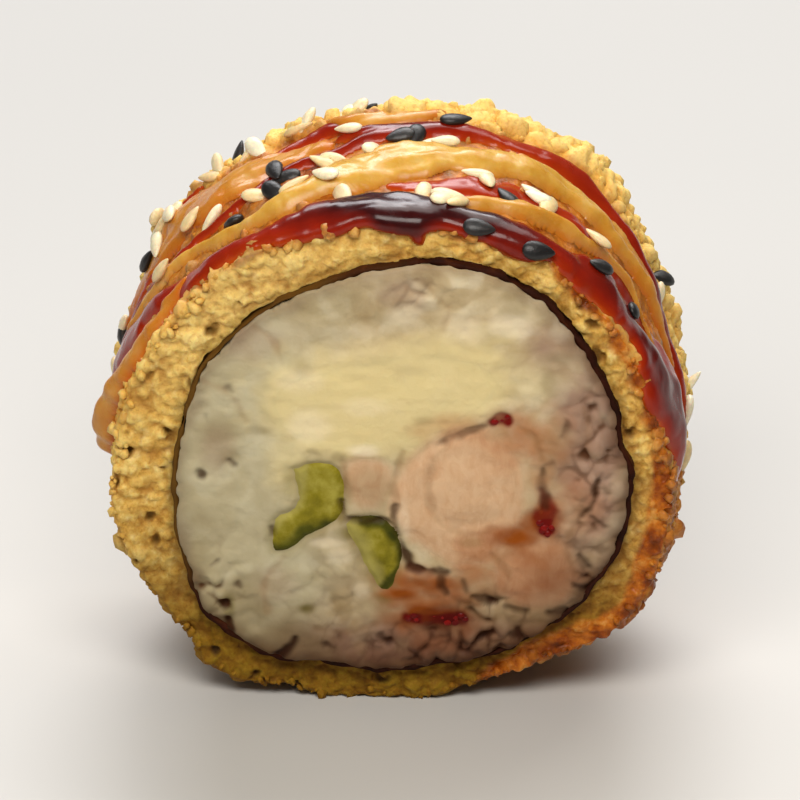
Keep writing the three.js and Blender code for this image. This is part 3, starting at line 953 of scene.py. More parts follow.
def make_crust(material):
    """The whole shell of crumbs: its front cut, its outside, its back cut and its hidden inside."""
    turns, front_rows, side_rows, back_rows, inner_rows = 800, 26, 76, 16, 3
    angle = all_round(turns)
    blocks, cuts = [], []

    def add(radius, share, cut):
        front, back = crust_out.cut_ys(AXIS_Z + radius * np.sin(angle))
        y = front * (1 - share) + back * share
        blocks.append(round_axis(angle + 0 * radius, radius, y))
        cuts.append(np.broadcast_to(cut, radius.shape))

    def outer(share):
        return crust_out.radius(angle, share) - CRUST_SINK

    def inner(share):
        place = round_axis(angle, 21 * MM + 0 * angle, 0 * angle)
        return nori_line(angle, share) + 0.6 * nori_half(angle) + 0.2 * MM * rough_noise(place, 1.4 * MM, 19)

    out = np.linspace(0, 1, front_rows, endpoint=False)[:, None]
    add(inner(0) * (1 - out) + outer(0) * out, 0 * out, 1.0)
    side = np.linspace(0, 1, side_rows)[:, None]
    add(outer(side), side, ramped(np.minimum(side, 1 - side), 0.03, 0.0))
    back = np.linspace(0, 1, back_rows + 1)[1:, None]
    add(outer(1) * (1 - back) + inner(1) * back, 1 + 0 * back, 1.0)
    inside = np.linspace(1, 0, inner_rows + 2)[1:-1, None]
    add(inner(inside), inside, 0.0)

    points, cut = np.concatenate(blocks), np.concatenate(cuts)
    # both rims are eased, so that no sharp edge shows
    for rim in (front_rows, front_rows + side_rows - 1):
        near = slice(rim - 3, rim + 4)
        for _ in range(6):
            eased = (np.roll(points, 1, axis=0) + np.roll(points, -1, axis=0)) / 2
            points[near] = 0.5 * (points[near] + eased[near])
    flat = points.reshape(-1, 3)
    turn, behind = surface_place(flat)
    at_back = ramped(behind, HALF_LENGTH - 5.5 * MM, HALF_LENGTH - 1.5 * MM) * ramped(np.abs(turn), 2.2, 1.2)
    relief = crust_relief(flat, cut.ravel(), at_back) * (1 - 0.55 * in_band(flat))
    holes = crust_holes(flat) * (0.3 + 0.7 * cut.ravel()) * (1 - in_band(flat))
    relief = (relief - 0.55 * MM * holes).reshape(cut.shape)
    last = front_rows + side_rows + back_rows
    relief[last:] = 0
    # both cut faces calm down towards the seaweed
    limits = [(-0.1, 0.0), (-0.2, 0.1), (-0.3, 0.2), (-0.4, 0.35), (-0.5, 0.5)]
    for depth, (least, most) in enumerate(limits):
        for row in (depth, last - 1 - depth):
            relief[row] = np.clip(relief[row], least * MM, most * MM)
    points = points + grid_normals(points) * relief[..., None]
    flat = held_in(points.reshape(-1, 3))
    # a painted pool of light on the upper left of the front cut
    from_painted_light = (np.degrees(surface_place(flat)[0]) + 42) / 30
    pale = np.exp(-(from_painted_light**2)) * cut.ravel() * (flat[:, 1] < MIDDLE_Y)
    values = {
        "cut": cut.ravel(),
        "hole_shade": holes,
        # painted shade in the low gaps and the holes, and a painted highlight on the peaks
        "low": ramped(relief.ravel(), 0.0 * MM, -0.42 * MM),
        "peak_highlight": np.clip(ramped(relief.ravel(), -0.05 * MM, 0.4 * MM) + 0.7 * pale, 0, 1.4),
        "dusk": crust_painted_shade(flat),
        "glaze": np.maximum(glaze_at(flat) * (1 - 0.85 * cut.ravel()), soaked_rim(flat) * cut.ravel()),
    }
    obj = make_object("crust_shell", flat, grid_faces(len(points), turns), material, values)
    dress(obj, "crust", "crust")
    return obj


def held_in(points):
    """Points kept off the floor, and from standing more than about half a millimetre off either cut."""
    points[:, 2] = np.maximum(points[:, 2], FLOOR_GAP)
    front, back = crust_out.cut_ys(points[:, 2])
    points[:, 1] = np.clip(points[:, 1], front - 0.6 * MM, back + 0.55 * MM)
    return points


def crumb_shapes(generator, rings, sides, count):
    """A few rough crumbs to scatter: balls pulled in and out at random."""
    base, faces = ball(rings, sides)
    shapes = []
    for _ in range(count):
        offset = generator.uniform(-9, 9, 3)
        bulge = 1 + 0.4 * noise(base + offset, 0.9, 1) + 0.22 * noise(base + offset, 0.4, 2)
        shapes.append((base * bulge[:, None], faces))
    return shapes


def scatter_crumbs(name, seed, shapes, spots, sizes, material):
    """Crumbs of those sizes at (turn, depth behind, lift) on the crust, paler towards their tips as a painted
    highlight and darker low down as painted shade.
    """
    generator = np.random.default_rng(seed)
    placed = []
    for (turn, behind, lift), size in zip(spots, sizes):
        points, faces = shapes[generator.integers(len(shapes))]
        stretch = generator.uniform([0.85, 0.75, 0.65], [1.25, 1.05, 0.95]) * size
        centre = crust_place(np.array([turn]), np.array([behind]), np.array([lift]))[0]
        placed.append(((points * stretch) @ turning(generator).T + centre, faces))
    points, faces, owners = joined(placed)
    points = held_in(points)
    own = generator.random(len(placed))[owners]
    lift = lift_of(points)
    values = {
        "cut": np.full(len(points), 0.5),
        "hole_shade": np.zeros(len(points)),
        # painted shade low on each crumb, and a painted highlight towards its tip
        "low": np.clip(ramped(lift, 0.1 * MM, -0.4 * MM) + 0.2 * own - 0.1, 0, 1),
        "peak_highlight": np.clip(ramped(lift, 0.0 * MM, 0.6 * MM) * 0.8 + 0.4 * own - 0.1, 0, 1),
        "dusk": crust_painted_shade(points),
        "glaze": np.maximum(glaze_at(points), soaked_rim(points)) * 0.85,
    }
    dress(make_object(name, points, faces, material, values), "crust")


def unsauced(generator, turn, behind, most):
    """Which places keep their crumb: all beside the band that sauce has soaked, and few in it."""
    return generator.random(len(turn)) > most * in_band(crust_place(turn, behind, 0 * turn))


def make_crumbs(material):
    """Small crumbs all over the crust's outside, and big ones, of which half are near the back rim."""
    generator = np.random.default_rng(5)
    count = 3600
    past = 3.6 * MM  # how far past the front cut places are drawn, though none there keeps its crumb
    turn = generator.uniform(-math.pi, math.pi, count)
    behind = generator.uniform(-HALF_LENGTH - past, HALF_LENGTH - 0.4 * MM, count)
    kept = unsauced(generator, turn, behind, 0.95)
    turn, behind = turn[kept], behind[kept]
    on_cut = behind < 0.6 * MM - HALF_LENGTH
    kept = generator.random(len(turn)) > on_cut + 0.5 * (behind > 8 * MM)
    turn, behind = turn[kept], behind[kept]
    sizes = generator.lognormal(math.log(0.4), 0.35, len(turn)) * MM
    spots = np.stack([turn, behind, generator.uniform(-0.5, 0.1, len(turn)) * sizes], axis=1)
    scatter_crumbs("crust_crumbs", 6, crumb_shapes(generator, 4, 7, 24), spots, sizes, material)

    count = 420
    turn = generator.uniform(-math.pi, math.pi, count)
    at_back = generator.random(count) < 0.5
    behind_back, behind_any = generator.uniform(7.5, 11.6, count), generator.uniform(-10.5, 11.6, count)
    behind = np.where(at_back, behind_back, behind_any) * MM
    kept = unsauced(generator, turn, behind, 0.97)
    turn, behind, at_back = turn[kept], behind[kept], at_back[kept]
    sizes = generator.lognormal(math.log(0.8), 0.22, len(turn)) * (1 + 0.35 * at_back) * MM
    behind = np.minimum(behind, HALF_LENGTH - 1.1 * sizes)
    spots = np.stack([turn, behind, generator.uniform(-0.7, -0.3, len(turn)) * sizes], axis=1)
    scatter_crumbs("crust_chunks", 7, crumb_shapes(generator, 8, 12, 16), spots, sizes, material)


# ---------------------------------------------------------------- nori


# Where the sheet is torn thin: (how much, middle and reach in radians from the right)
NORI_TEARS = [(0.4, 2.3, 0.5), (0.35, 5.5, 0.45)]


def make_nori(material):
    """The seaweed ring, wrinkled, thicker and thinner by turns, with uneven edges at both cuts."""
    turns, rows = 480, 20
    angle = all_round(turns)
    share = (0.5 - 0.5 * np.cos(np.linspace(0, math.pi, rows)))[:, None]
    rings = []
    for way in (1, -1):
        radius = nori_line(angle, share)
        front, back = nori_out.cut_ys(AXIS_Z + radius * np.sin(angle))
        points = round_axis(angle + 0 * share, radius, front * (1 - share) + back * share)
        half = 1 + 0.5 * noise(points, 2.2 * MM, 41) + 0.45 * noise(points, 0.8 * MM, 44)
        half = nori_half(angle) * half
        torn = noise(points, 2.6 * MM, 45)
        for most, at_angle, reach in NORI_TEARS:
            torn += most * np.exp(-(((angle - at_angle) / reach) ** 2))
        half = half * (1 - 0.85 * ramped(torn, 0.4, 0.65))
        wrinkle = 0.1 * MM * noise(points, 1.8 * MM, 42)
        rings.append(round_axis(angle + 0 * share, radius + wrinkle + way * half, points[..., 1])[::way])
    points = np.concatenate(rings)
    ragged = rough_noise(round_axis(angle, 20 * MM + 0 * angle, 0.0), 1.6 * MM, 43)[0]
    spread = (points[..., 1] - MIDDLE_Y) / HALF_LENGTH
    proud = 0.2 * ragged - 0.1 - 0.3 * np.clip(np.sin(angle[0]), 0, 1)
    points[..., 1] += proud * MM * np.sign(spread) * np.abs(spread) ** 12
    points = points.reshape(-1, 3)
    # browner on the left of the sheet, less so low down
    brown_share = ramped(points[:, 0] - AXIS_X + 6 * MM * noise(points, 4 * MM, 46), 6 * MM, -14 * MM)
    brown_share *= ramped(points[:, 2] - AXIS_Z, -15 * MM, -7 * MM)
    faces = grid_faces(2 * rows, turns)
    dress(make_object("nori_sheet", points, faces, material, {"brown_share": brown_share}), "nori", "nori")


# ---------------------------------------------------------------- the cut faces

MEAT_NODES = ["shrimp_large", "shrimp_small", "shrimp_lobe"]
CUCUMBER_NODES = ["cucumber_upper", "cucumber_lower"]
ROE_NODES = ["roe_lower", "roe_side"]
FILLING_NODES = ["cream_cheese"] + MEAT_NODES + CUCUMBER_NODES

# Places on a cut face are in mm from the roll's axis.
# Soft patches: (x, z, half width, half height, strength)
PATCHES = {
    # where whole grains stand, and not a smear that the knife left
    "grainy": [
        (-6.4, -13.2, 5.0, 6.0, 0.3), (17.8, 0.0, 3.4, 11.0, 0.8), (15.6, -11.0, 4.4, 5.0, 0.85),
        (5.0, -18.0, 12.0, 2.6, 1.0), (-16.4, -13.5, 3.0, 5.0, 0.7), (1.5, 18.0, 4.5, 2.2, 0.5),
        (8.4, -14.0, 4.4, 2.2, 0.8),
    ],
    # painted shade, and grey rice between the pale smears
    "shade": [
        (-3.0, -1.6, 2.2, 2.8, 0.55), (13.6, 2.2, 2.0, 3.0, 0.3), (-4.8, 17.2, 2.2, 2.0, 0.6),
        (-1.6, 15.4, 2.4, 0.9, 0.6), (10.0, 17.0, 1.6, 2.2, 0.6), (8.2, 14.2, 1.8, 0.8, 0.45),
        (14.2, 11.6, 2.2, 0.9, 0.45), (13.2, 9.2, 0.9, 1.4, 0.5), (-16.2, 4.0, 2.0, 1.6, 0.55),
        (-6.0, -13.6, 5.0, 4.4, 0.3), (-2.0, 16.6, 5.0, 2.4, 0.35), (-8.0, 15.0, 4.0, 3.0, 0.35),
        (-12.6, 3.8, 1.4, 0.5, 0.5), (-15.2, 1.2, 1.3, 1.0, 0.6), (-8.8, 10.2, 0.9, 0.9, 0.35),
        (0.6, 10.2, 2.0, 0.6, 0.3), (-5.6, 1.3, 0.8, 0.7, 0.7), (-18.0, -7.2, 1.0, 1.4, 0.4),
        (-14.6, -14.2, 3.6, 3.6, 0.9), (-10.4, -17.8, 5.0, 2.4, 0.9), (-18.4, -8.0, 2.0, 5.0, 0.6),
        (-5.0, -13.0, 1.4, 3.0, 0.3), (2.0, 5.2, 1.2, 0.6, 0.45),
    ],
    # purplish rice, made darker on the right and at the bottom: partly painted shade
    "purple": [
        (17.0, 2.0, 4.0, 13.0, 0.9), (14.0, 12.5, 3.6, 3.6, 0.55), (14.5, -8.0, 6.0, 6.0, 0.6),
        (2.0, -18.0, 13.0, 3.0, 0.9), (-8.0, -18.0, 4.0, 2.4, 0.6), (-16.4, 1.8, 1.8, 2.6, 0.35),
        (-13.5, 13.0, 3.2, 2.4, 0.4), (0.2, 17.6, 3.0, 2.2, 0.5), (-11.0, -12.0, 2.5, 2.0, 0.3),
    ],
    "cheese": [
        (-2.0, 7.6, 11.5, 5.2, 1.0), (-5.5, 3.4, 6.0, 3.0, 0.95), (4.0, 11.2, 6.5, 3.2, 0.85),
        (-9.5, 8.2, 3.4, 3.4, 0.8), (8.0, 13.8, 2.6, 1.4, 0.6), (-10.0, 0.4, 2.4, 4.6, 0.6),
        (11.0, 9.2, 2.6, 2.2, 0.4),
    ],
    # pale rice and cheese, and painted highlights on the rice mound at the lower left
    "bright": [
        (-3.4, 2.0, 1.4, 0.7, 0.8), (-8.2, 4.4, 2.4, 1.8, 0.5), (-3.0, 6.4, 3.0, 1.0, 0.35),
        (9.6, 14.8, 2.2, 1.2, 0.7), (6.0, 14.4, 2.0, 1.6, 0.4), (0.2, 15.6, 1.8, 1.4, 0.4),
        (-7.0, -7.6, 1.6, 0.6, 0.6), (-5.4, -9.0, 1.2, 0.9, 0.5), (-3.6, -12.4, 1.0, 1.2, 0.5),
        (-9.0, 9.0, 2.0, 1.4, 0.4), (0.2, -5.6, 0.7, 3.2, 0.5),
    ],
    "warm": [
        (11.0, 3.4, 5.0, 3.2, 0.75), (6.0, 4.4, 5.4, 1.8, 0.5), (9.4, -8.2, 4.4, 2.6, 0.75),
        (12.0, -10.0, 4.0, 4.0, 0.7), (2.0, -11.4, 5.2, 1.6, 0.7), (2.4, -13.2, 5.0, 1.4, 0.95),
        (15.0, -3.6, 3.0, 3.4, 0.45), (6.4, -10.6, 2.6, 1.6, 0.75), (3.0, -15.6, 4.6, 2.2, 0.6),
        (3.6, -17.6, 3.2, 1.4, 0.5), (12.4, 0.6, 1.4, 3.4, 0.6),
    ],
    "film": [
        (9.8, -6.6, 2.6, 1.2, 0.9), (12.9, -4.6, 1.8, 2.2, 0.7), (3.0, -11.8, 3.6, 1.2, 0.85),
        (3.0, -14.9, 4.4, 1.4, 0.95), (8.0, -12.4, 2.4, 1.0, 0.4), (11.8, -5.2, 1.6, 1.6, 0.8),
        (0.0, -12.6, 2.2, 0.8, 0.8), (-0.8, -14.8, 1.8, 1.4, 0.45), (9.0, 5.2, 1.8, 1.1, 0.5),
        (3.0, -14.7, 4.4, 0.8, 0.6), (5.8, -16.0, 1.0, 1.0, 0.4), (12.6, -11.4, 1.8, 1.6, 0.35),
        (6.4, -13.6, 1.2, 0.8, 0.4),
    ],
    # olive rice by the cucumber, and painted shade between the two sticks
    "olive": [
        (-3.6, -6.4, 2.8, 1.1, 0.9), (-5.4, -4.6, 0.8, 1.8, 0.7), (-8.6, -14.4, 0.9, 0.7, 0.85),
        (-1.4, -12.9, 0.9, 0.9, 0.5), (-9.8, -1.2, 1.0, 2.2, 0.4), (-15.4, -14.2, 0.7, 1.6, 0.5),
        (6.4, -7.2, 1.1, 0.6, 0.25),
    ],
}
# Lines on a cut face: (strength, [(x, z, width), ...])
LINES = {
    # painted shade along soft edges and cracks, over shallow grooves in the relief
    "groove": [
        (0.4, [(4.2, 2.7, 0.5), (3.0, 1.2, 0.6), (2.6, -1.5, 0.7), (2.9, -4.2, 0.6), (3.8, -5.6, 0.4)]),
        (0.2, [(9.2, 1.8, 0.4), (10.3, -1.0, 0.6), (9.8, -3.8, 0.5)]),
        (0.45, [(4.4, -5.9, 0.5), (6.4, -6.4, 0.7), (8.4, -5.8, 0.5)]),
        (0.5, [(0.2, 1.8, 0.4), (-0.5, -0.8, 0.6), (-0.4, -3.0, 0.6)]),
        (0.5, [(-5.3, 0.8, 0.4), (-4.9, -0.8, 0.5), (-5.3, -2.6, 0.5)]),
        (0.4, [(0.4, 4.4, 0.4), (2.6, 4.9, 0.4), (5.2, 5.0, 0.4)]),
        (0.6, [(10.6, 4.6, 0.4), (12.0, 3.4, 0.6), (12.6, 1.2, 0.6)]),
        (0.6, [(0.8, -11.4, 0.5), (3.0, -12.2, 0.5)]),
        (0.5, [(8.2, -8.4, 0.5), (9.6, -10.4, 0.6), (9.4, -12.4, 0.5)]),
        (0.5, [(15.4, -5.6, 0.5), (14.8, -8.0, 0.6), (15.6, -10.4, 0.5)]),
        (0.45, [(16.2, 6.6, 0.4), (16.8, 4.0, 0.5), (16.4, 1.6, 0.5)]),
        (0.4, [(-10.4, -9.2, 0.5), (-12.2, -11.6, 0.6), (-12.0, -14.6, 0.6)]),
        (0.35, [(-7.6, -16.4, 0.5), (-5.0, -16.8, 0.5), (-2.0, -15.8, 0.4)]),
        (0.4, [(-13.4, 14.6, 0.4), (-11.4, 13.0, 0.6), (-10.6, 10.8, 0.5)]),
        (0.35, [(-17.6, 8.8, 0.4), (-15.0, 7.2, 0.5), (-13.8, 4.8, 0.5)]),
        (0.35, [(2.6, 18.4, 0.4), (4.2, 16.4, 0.5), (3.8, 14.4, 0.4)]),
    ],
    # painted shade in cracks, pits and the gaps between fillings, over shallow grooves in the relief
    "crease": [
        (0.6, [(3.2, 2.6, 0.3), (4.6, 3.4, 0.6), (5.9, 4.0, 0.5), (7.6, 4.6, 0.3)]),
        (0.55, [(14.9, 5.2, 0.4), (14.7, 4.4, 0.7), (14.4, 3.6, 0.4)]),
        (1.0, [(17.9, 0.0, 0.3), (17.4, -1.6, 0.5), (17.3, -3.0, 0.6), (16.2, -4.6, 0.5)]),
        (0.6, [(17.2, -4.6, 0.8), (18.2, -5.6, 0.6)]),
        (0.85, [(16.0, -8.6, 0.5), (16.8, -9.7, 0.8)]),
        (1.0, [(15.6, -11.8, 0.6), (16.8, -12.2, 0.8)]),
        (0.8, [(13.4, -14.6, 0.6), (14.6, -14.4, 0.9)]),
        (0.9, [(-0.4, -3.8, 0.5), (-0.6, -5.2, 0.5), (0.0, -7.4, 0.7), (0.5, -9.0, 0.9), (0.9, -9.8, 0.8)]),
        (0.85, [(0.8, -9.9, 0.8), (2.4, -10.4, 0.7), (4.0, -10.6, 0.8)]),
        (0.75, [(3.6, -10.4, 0.9), (3.7, -11.8, 0.9), (4.2, -12.6, 0.5)]),
        (0.6, [(5.6, -11.4, 0.4), (5.9, -12.4, 0.6)]),
        (0.8, [(6.4, -12.9, 0.3), (7.6, -13.3, 0.7), (8.6, -13.5, 0.4)]),
        (0.6, [(9.4, -13.9, 0.5), (11.2, -14.4, 0.5)]),
        (0.85, [(5.6, -17.4, 0.7), (6.4, -17.7, 0.6)]),
        (0.8, [(10.0, -16.8, 0.7), (10.8, -17.2, 0.5)]),
        (0.6, [(6.8, -18.7, 0.6), (7.4, -19.0, 0.5)]),
        (0.8, [(-1.8, -17.2, 0.7), (-1.2, -17.7, 0.6)]),
        (0.8, [(-6.6, -18.2, 0.8), (-6.0, -18.5, 0.5)]),
        (1.0, [(-9.5, -17.5, 0.2), (-9.8, -18.3, 0.6), (-10.9, -19.4, 0.9)]),
        (1.0, [(-16.3, -13.8, 0.5), (-15.7, -14.0, 0.8)]),
        (1.0, [(-15.5, -15.6, 0.4), (-15.5, -16.6, 0.9), (-16.2, -17.2, 0.8)]),
        (0.95, [(-17.9, -0.5, 0.5), (-17.8, -0.9, 0.5)]),
        (0.8, [(-15.3, 0.7, 0.3), (-14.9, 0.2, 0.6)]),
        (0.7, [(-17.0, -10.0, 0.4), (-16.5, -9.5, 0.4)]),
        (0.65, [(-14.6, -12.0, 0.5), (-14.4, -12.3, 0.4)]),
        (0.75, [(-11.6, -6.2, 0.4), (-11.4, -6.8, 0.5)]),
        (0.35, [(-17.4, 5.2, 0.4), (-17.2, 4.6, 0.4)]),
        (0.6, [(-15.3, 8.1, 0.5), (-15.0, 7.7, 0.4)]),
        (0.9, [(-5.2, -3.4, 0.3), (-5.0, -4.8, 0.7), (-3.6, -5.2, 0.6), (-1.8, -5.2, 0.7),
               (-0.7, -5.6, 0.5)]),
        (0.7, [(12.7, 0.2, 0.3), (12.7, -1.4, 0.7), (12.9, -2.6, 1.0), (13.0, -3.6, 0.8)]),
        (0.4, [(13.6, 0.8, 0.8), (13.0, 0.6, 0.6)]),
    ],
    "blood": [
        (0.6, [(12.6, -2.0, 0.5), (13.0, -3.0, 1.2), (13.3, -3.6, 1.6), (13.1, -4.6, 1.2)]),
        (1.0, [(13.0, -5.4, 1.3), (13.1, -5.9, 1.5)]),
        (0.6, [(12.2, -4.2, 0.9), (12.5, -5.4, 1.0)]),
        (0.85, [(0.6, -15.1, 0.8), (2.4, -15.4, 1.2), (4.0, -15.3, 1.2), (5.4, -15.2, 1.3)]),
        (1.0, [(8.3, 5.0, 0.9), (9.0, 5.4, 1.3), (9.6, 5.1, 0.8)]),
        (0.45, [(0.9, -9.9, 0.8), (2.6, -10.5, 0.8)]),
    ],
}


@functools.cache
def cut_outline(node, side):
    """The outline of a node's cut face, in order, as points in x and z."""
    bm = bmesh.new()
    bm.from_mesh(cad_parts[node].data)
    bmesh.ops.remove_doubles(bm, verts=bm.verts, dist=1e-6)
    on_cut = {f for f in bm.faces if f.normal.y * side > 0.9}
    rim = [e for e in bm.edges if sum(f in on_cut for f in e.link_faces) == 1]
    links = {}
    for edge in rim:
        for vertex, other in (edge.verts, reversed(edge.verts)):
            links.setdefault(vertex, []).append(other)
    start = max(links, key=lambda v: v.co.x)
    loop = [start, links[start][0]]
    while True:
        ahead = [v for v in links[loop[-1]] if v is not loop[-2]][0]
        if ahead is start:
            break
        loop.append(ahead)
    outline = np.array([(v.co.x, v.co.z) for v in loop])
    bm.free()
    x, z = outline.T
    clockwise = np.sum(x * np.roll(z, -1) - np.roll(x, -1) * z) < 0
    return outline[::-1] if clockwise else outline


def edge_distance(points, outline):
    """The distance of each flat point to an outline."""
    start, end = outline, np.roll(outline, -1, axis=0)
    along = end - start
    rest = points[:, None, :] - start[None]
    share = np.clip((rest * along).sum(-1) / (along**2).sum(-1), 0, 1)
    return np.linalg.norm(rest - share[..., None] * along, axis=-1).min(axis=1)


def inside(points, outline):
    """Whether each flat point lies inside an outline."""
    x, z = points[:, 0][:, None], points[:, 1][:, None]
    x0, z0 = outline.T
    x1, z1 = np.roll(outline, -1, axis=0).T
    crossing = ((z0 > z) != (z1 > z)) & (x < (x1 - x0) * (z - z0) / (z1 - z0 + 1e-15) + x0)
    return crossing.sum(axis=1) % 2 == 1


def inner_distance(flat, outline):
    """How far inside an outline flat points lie; negative outside, and no further out than the reach."""
    reach = 4.5 * MM
    near = close_to(flat, outline, reach)
    distance = np.full(len(flat), -reach)
    for part in np.array_split(near, max(1, len(near) // 8000)):
        away = edge_distance(flat[part], outline)
        distance[part] = np.where(inside(flat[part], outline), away, -away)
    return distance


def scattered(generator, low, high, spacing, tries, fits):
    """Random places in a box that fit, none nearer to another than that spacing."""
    spots = np.zeros((0, 2))
    for _ in range(tries):
        spot = generator.uniform(low, high, 2)
        clear = len(spots) == 0 or np.hypot(*(spots - spot).T).min() > spacing
        if clear and fits(spot):
            spots = np.append(spots, [spot], axis=0)
    return spots


def scattered_in_disc(generator, reach, spacing, tries):
    """Random places in a disc round the roll's axis."""
    return scattered(generator, -reach, reach, spacing, tries, lambda spot: np.hypot(*spot) < reach)


class CutFace:
    """Heights and tints over one cut face, on an even grid that every piece of that face is read from.

    Heights are outwards from the solids' own cut plane. The rice and the fillings meet at the same
    height and in the same colours, as they do where one knife has gone through all of them.
    """

    STEP, REACH = 0.14 * MM, 21 * MM

    def __init__(self, side, seed):
        self.side, self.seed = side, seed
        line = np.arange(-self.REACH, self.REACH, self.STEP)
        self.count = len(line)
        self.x, self.z = np.meshgrid(line, line)
        self.flat = np.stack([self.x, self.z], axis=-1)
        self.place = np.stack([self.x, np.full_like(self.x, 0.05 * side), self.z], axis=-1)
        self.radius, self.angle = np.hypot(self.x, self.z), np.arctan2(self.z, self.x)
        self.ragged = 0.22 * MM * self.noise(1.6, 56) + 0.1 * MM * self.noise(0.6, 57)
        self.torn = 0.7 * self.ragged + 0.26 * MM * self.noise(0.8, 58)
        self.fading = np.clip(0.95 + 0.5 * self.noise(1.1, 99), 0.4, 1)
        self.fields = {name: self.patches(rows) for name, rows in PATCHES.items()}
        self.fields.update({name: self.lines(rows) for name, rows in LINES.items()})
        self.fields["blood"] = np.clip(1.4 * self.fields["blood"], 0, 1)
        away = (self.flat + (AXIS_X, AXIS_Z)).reshape(-1, 2)
        for node in FILLING_NODES + ROE_NODES:
            distance = inner_distance(away, cut_outline(node, side)).reshape(self.x.shape)
            self.fields[node] = distance + self.ragged
        self.add_tints()
        self.add_height()

    def noise(self, size, seed):
        """Smooth noise over the face, with its size in millimetres."""
        return noise(self.place, size * MM, seed)

    def deepest(self, nodes):
        """How far inside the nearest of those nodes each place lies."""
        return np.max([self.fields[node] for node in nodes], axis=0)

    def patches(self, rows):
        """How much of the soft patches lies at each place."""
        warp = 0.22 * self.noise(1.8, 50) + 0.12 * self.noise(0.8, 51)
        total = np.zeros_like(self.x)
        for x, z, wide, high, strength in rows:
            away = np.hypot((self.x - x * MM) / (wide * MM), (self.z - z * MM) / (high * MM))
            total = np.maximum(total, strength * ramped(away + warp, 1.3, 0.3))
        return total

    def lines(self, rows):
        """How much of the lines lies at each place."""
        total = np.zeros_like(self.x)
        for strength, line in rows:
            gap = np.full_like(self.x, 9.0)
            for x, z, width in spline(np.array(line) * MM, 24):
                gap = np.minimum(gap, np.hypot(self.x - x, self.z - z) - width / 2)
            drawn = strength * ramped(gap + self.torn, 0.28 * MM, -0.3 * MM) * self.fading
            total = np.maximum(total, drawn)
        return total

    def grains(self, grainy):
        """The height and tone of grains laid one over another: whole ones proud, sliced ones flat."""
        generator = np.random.default_rng(self.seed)
        layers = [scattered_in_disc(generator, 20.6 * MM, gap * MM, 5000) for gap in (1.3, 1.15)]
        spots = np.concatenate(layers)
        second, end = len(spots) * 0.46, len(spots)  # about where the second layer starts, and its end
        outer = scattered_in_disc(np.random.default_rng(self.seed + 50), 23 * MM, 1.3 * MM, 4000)
        outer = outer[(np.hypot(*outer.T) > 20.9 * MM) & (np.abs(outer).max(axis=1) < 20.8 * MM)]
        spots = np.concatenate([spots, outer])
        warp = np.stack([self.noise(1.3, self.seed + 6 + i) for i in range(2)], axis=-1)
        warped = self.flat + 0.42 * MM * warp
        floor = (0.14 * rough_noise(self.place, 3.4 * MM, self.seed + 1) - 0.6 * grainy) * MM
        height = floor.copy()
        tone = 0.5 + 0.3 * self.noise(2.6, self.seed + 3) - 0.4 * grainy
        for number, spot in enumerate(spots):
            yaw, tint = generator.uniform(0, math.pi), generator.uniform(0.1, 0.9)
            soft, faint = generator.uniform(0.4, 1.0), generator.uniform(0.15, 0.7)
            lean, level = generator.normal(0, 0.05, 2), generator.normal(0, 1)
            bend, long, wide = generator.uniform([-50, 0, 0], [50, 1, 1])
            row, column = np.minimum(((spot[::-1] + self.REACH) / self.STEP).astype(int), self.count - 1)
            stand = grainy[row, column]
            if second < number < end and stand > 0.35:
                continue  # whole grains lie in one layer, so that the gaps between them stay
            flat = 1 - stand
            long, wide = 2.0 - 0.9 * stand + (1.0 - 0.3 * stand) * long, 0.95 - 0.1 * stand + 0.3 * wide
            size = np.array([long, wide]) * MM
            reach = int(1.3 * size[0] / self.STEP)
            window = slice(max(row - reach, 0), row + reach), slice(max(column - reach, 0), column + reach)
            away = warped[window] - spot
            cos, sin = math.cos(yaw), math.sin(yaw)
            along, across = away @ (cos, sin), away @ (-sin, cos)
            across = across + bend * along**2
            share = np.sqrt((along / size[0]) ** 2 + (across / size[1]) ** 2)
            edge = (1 - share) * size[1] / MM
            mask = ramped(edge, -0.05, 0.3 * stand + soft * flat) * (stand + faint * flat) ** 0.5
            dome = np.sqrt(np.clip(1 - share**2, 0, 1)) * (0.6 * stand + 0.08 * flat) * MM
            proud = (0.28 * stand + level * (0.15 * stand + 0.04 * flat)) * MM
            base = floor[row, column] + proud + away @ lean
            height[window] += (base + dome - height[window]) * mask
            tone[window] += (tint - tone[window]) * mask * 0.8
        return height, tone

    def add_tints(self):
        """Tints that follow the nodes: meat, cheese round its node, and the rice's cool left side."""
        fields, meat = self.fields, self.deepest(MEAT_NODES)
        cheese = ramped(fields["cream_cheese"], -3.2 * MM, 0.6 * MM)
        cucumber, roe = self.deepest(CUCUMBER_NODES), self.deepest(ROE_NODES)
        fields["cool"] = ramped(self.x + 3 * MM * self.noise(5, 95), -3 * MM, -12 * MM)
        fields["cheese"] = np.maximum(fields["cheese"], 0.9 * cheese) * ramped(meat, 1.0 * MM, -0.8 * MM)
        fields["meat"] = ramped(meat, -1.0 * MM, 0.7 * MM)
        fields["olive"] = np.maximum(fields["olive"], 0.4 * ramped(cucumber, -1.2 * MM, 0))
        fields["blood"] = np.maximum(fields["blood"], 0.35 * ramped(roe, -0.3 * MM, 0.6 * MM))
        uneven = 1.1 + 0.5 * rough_noise(self.place, 1.8 * MM, 96)
        for name in ("purple", "warm", "film"):
            fields[name] = np.clip(fields[name] * uneven, 0, 1)

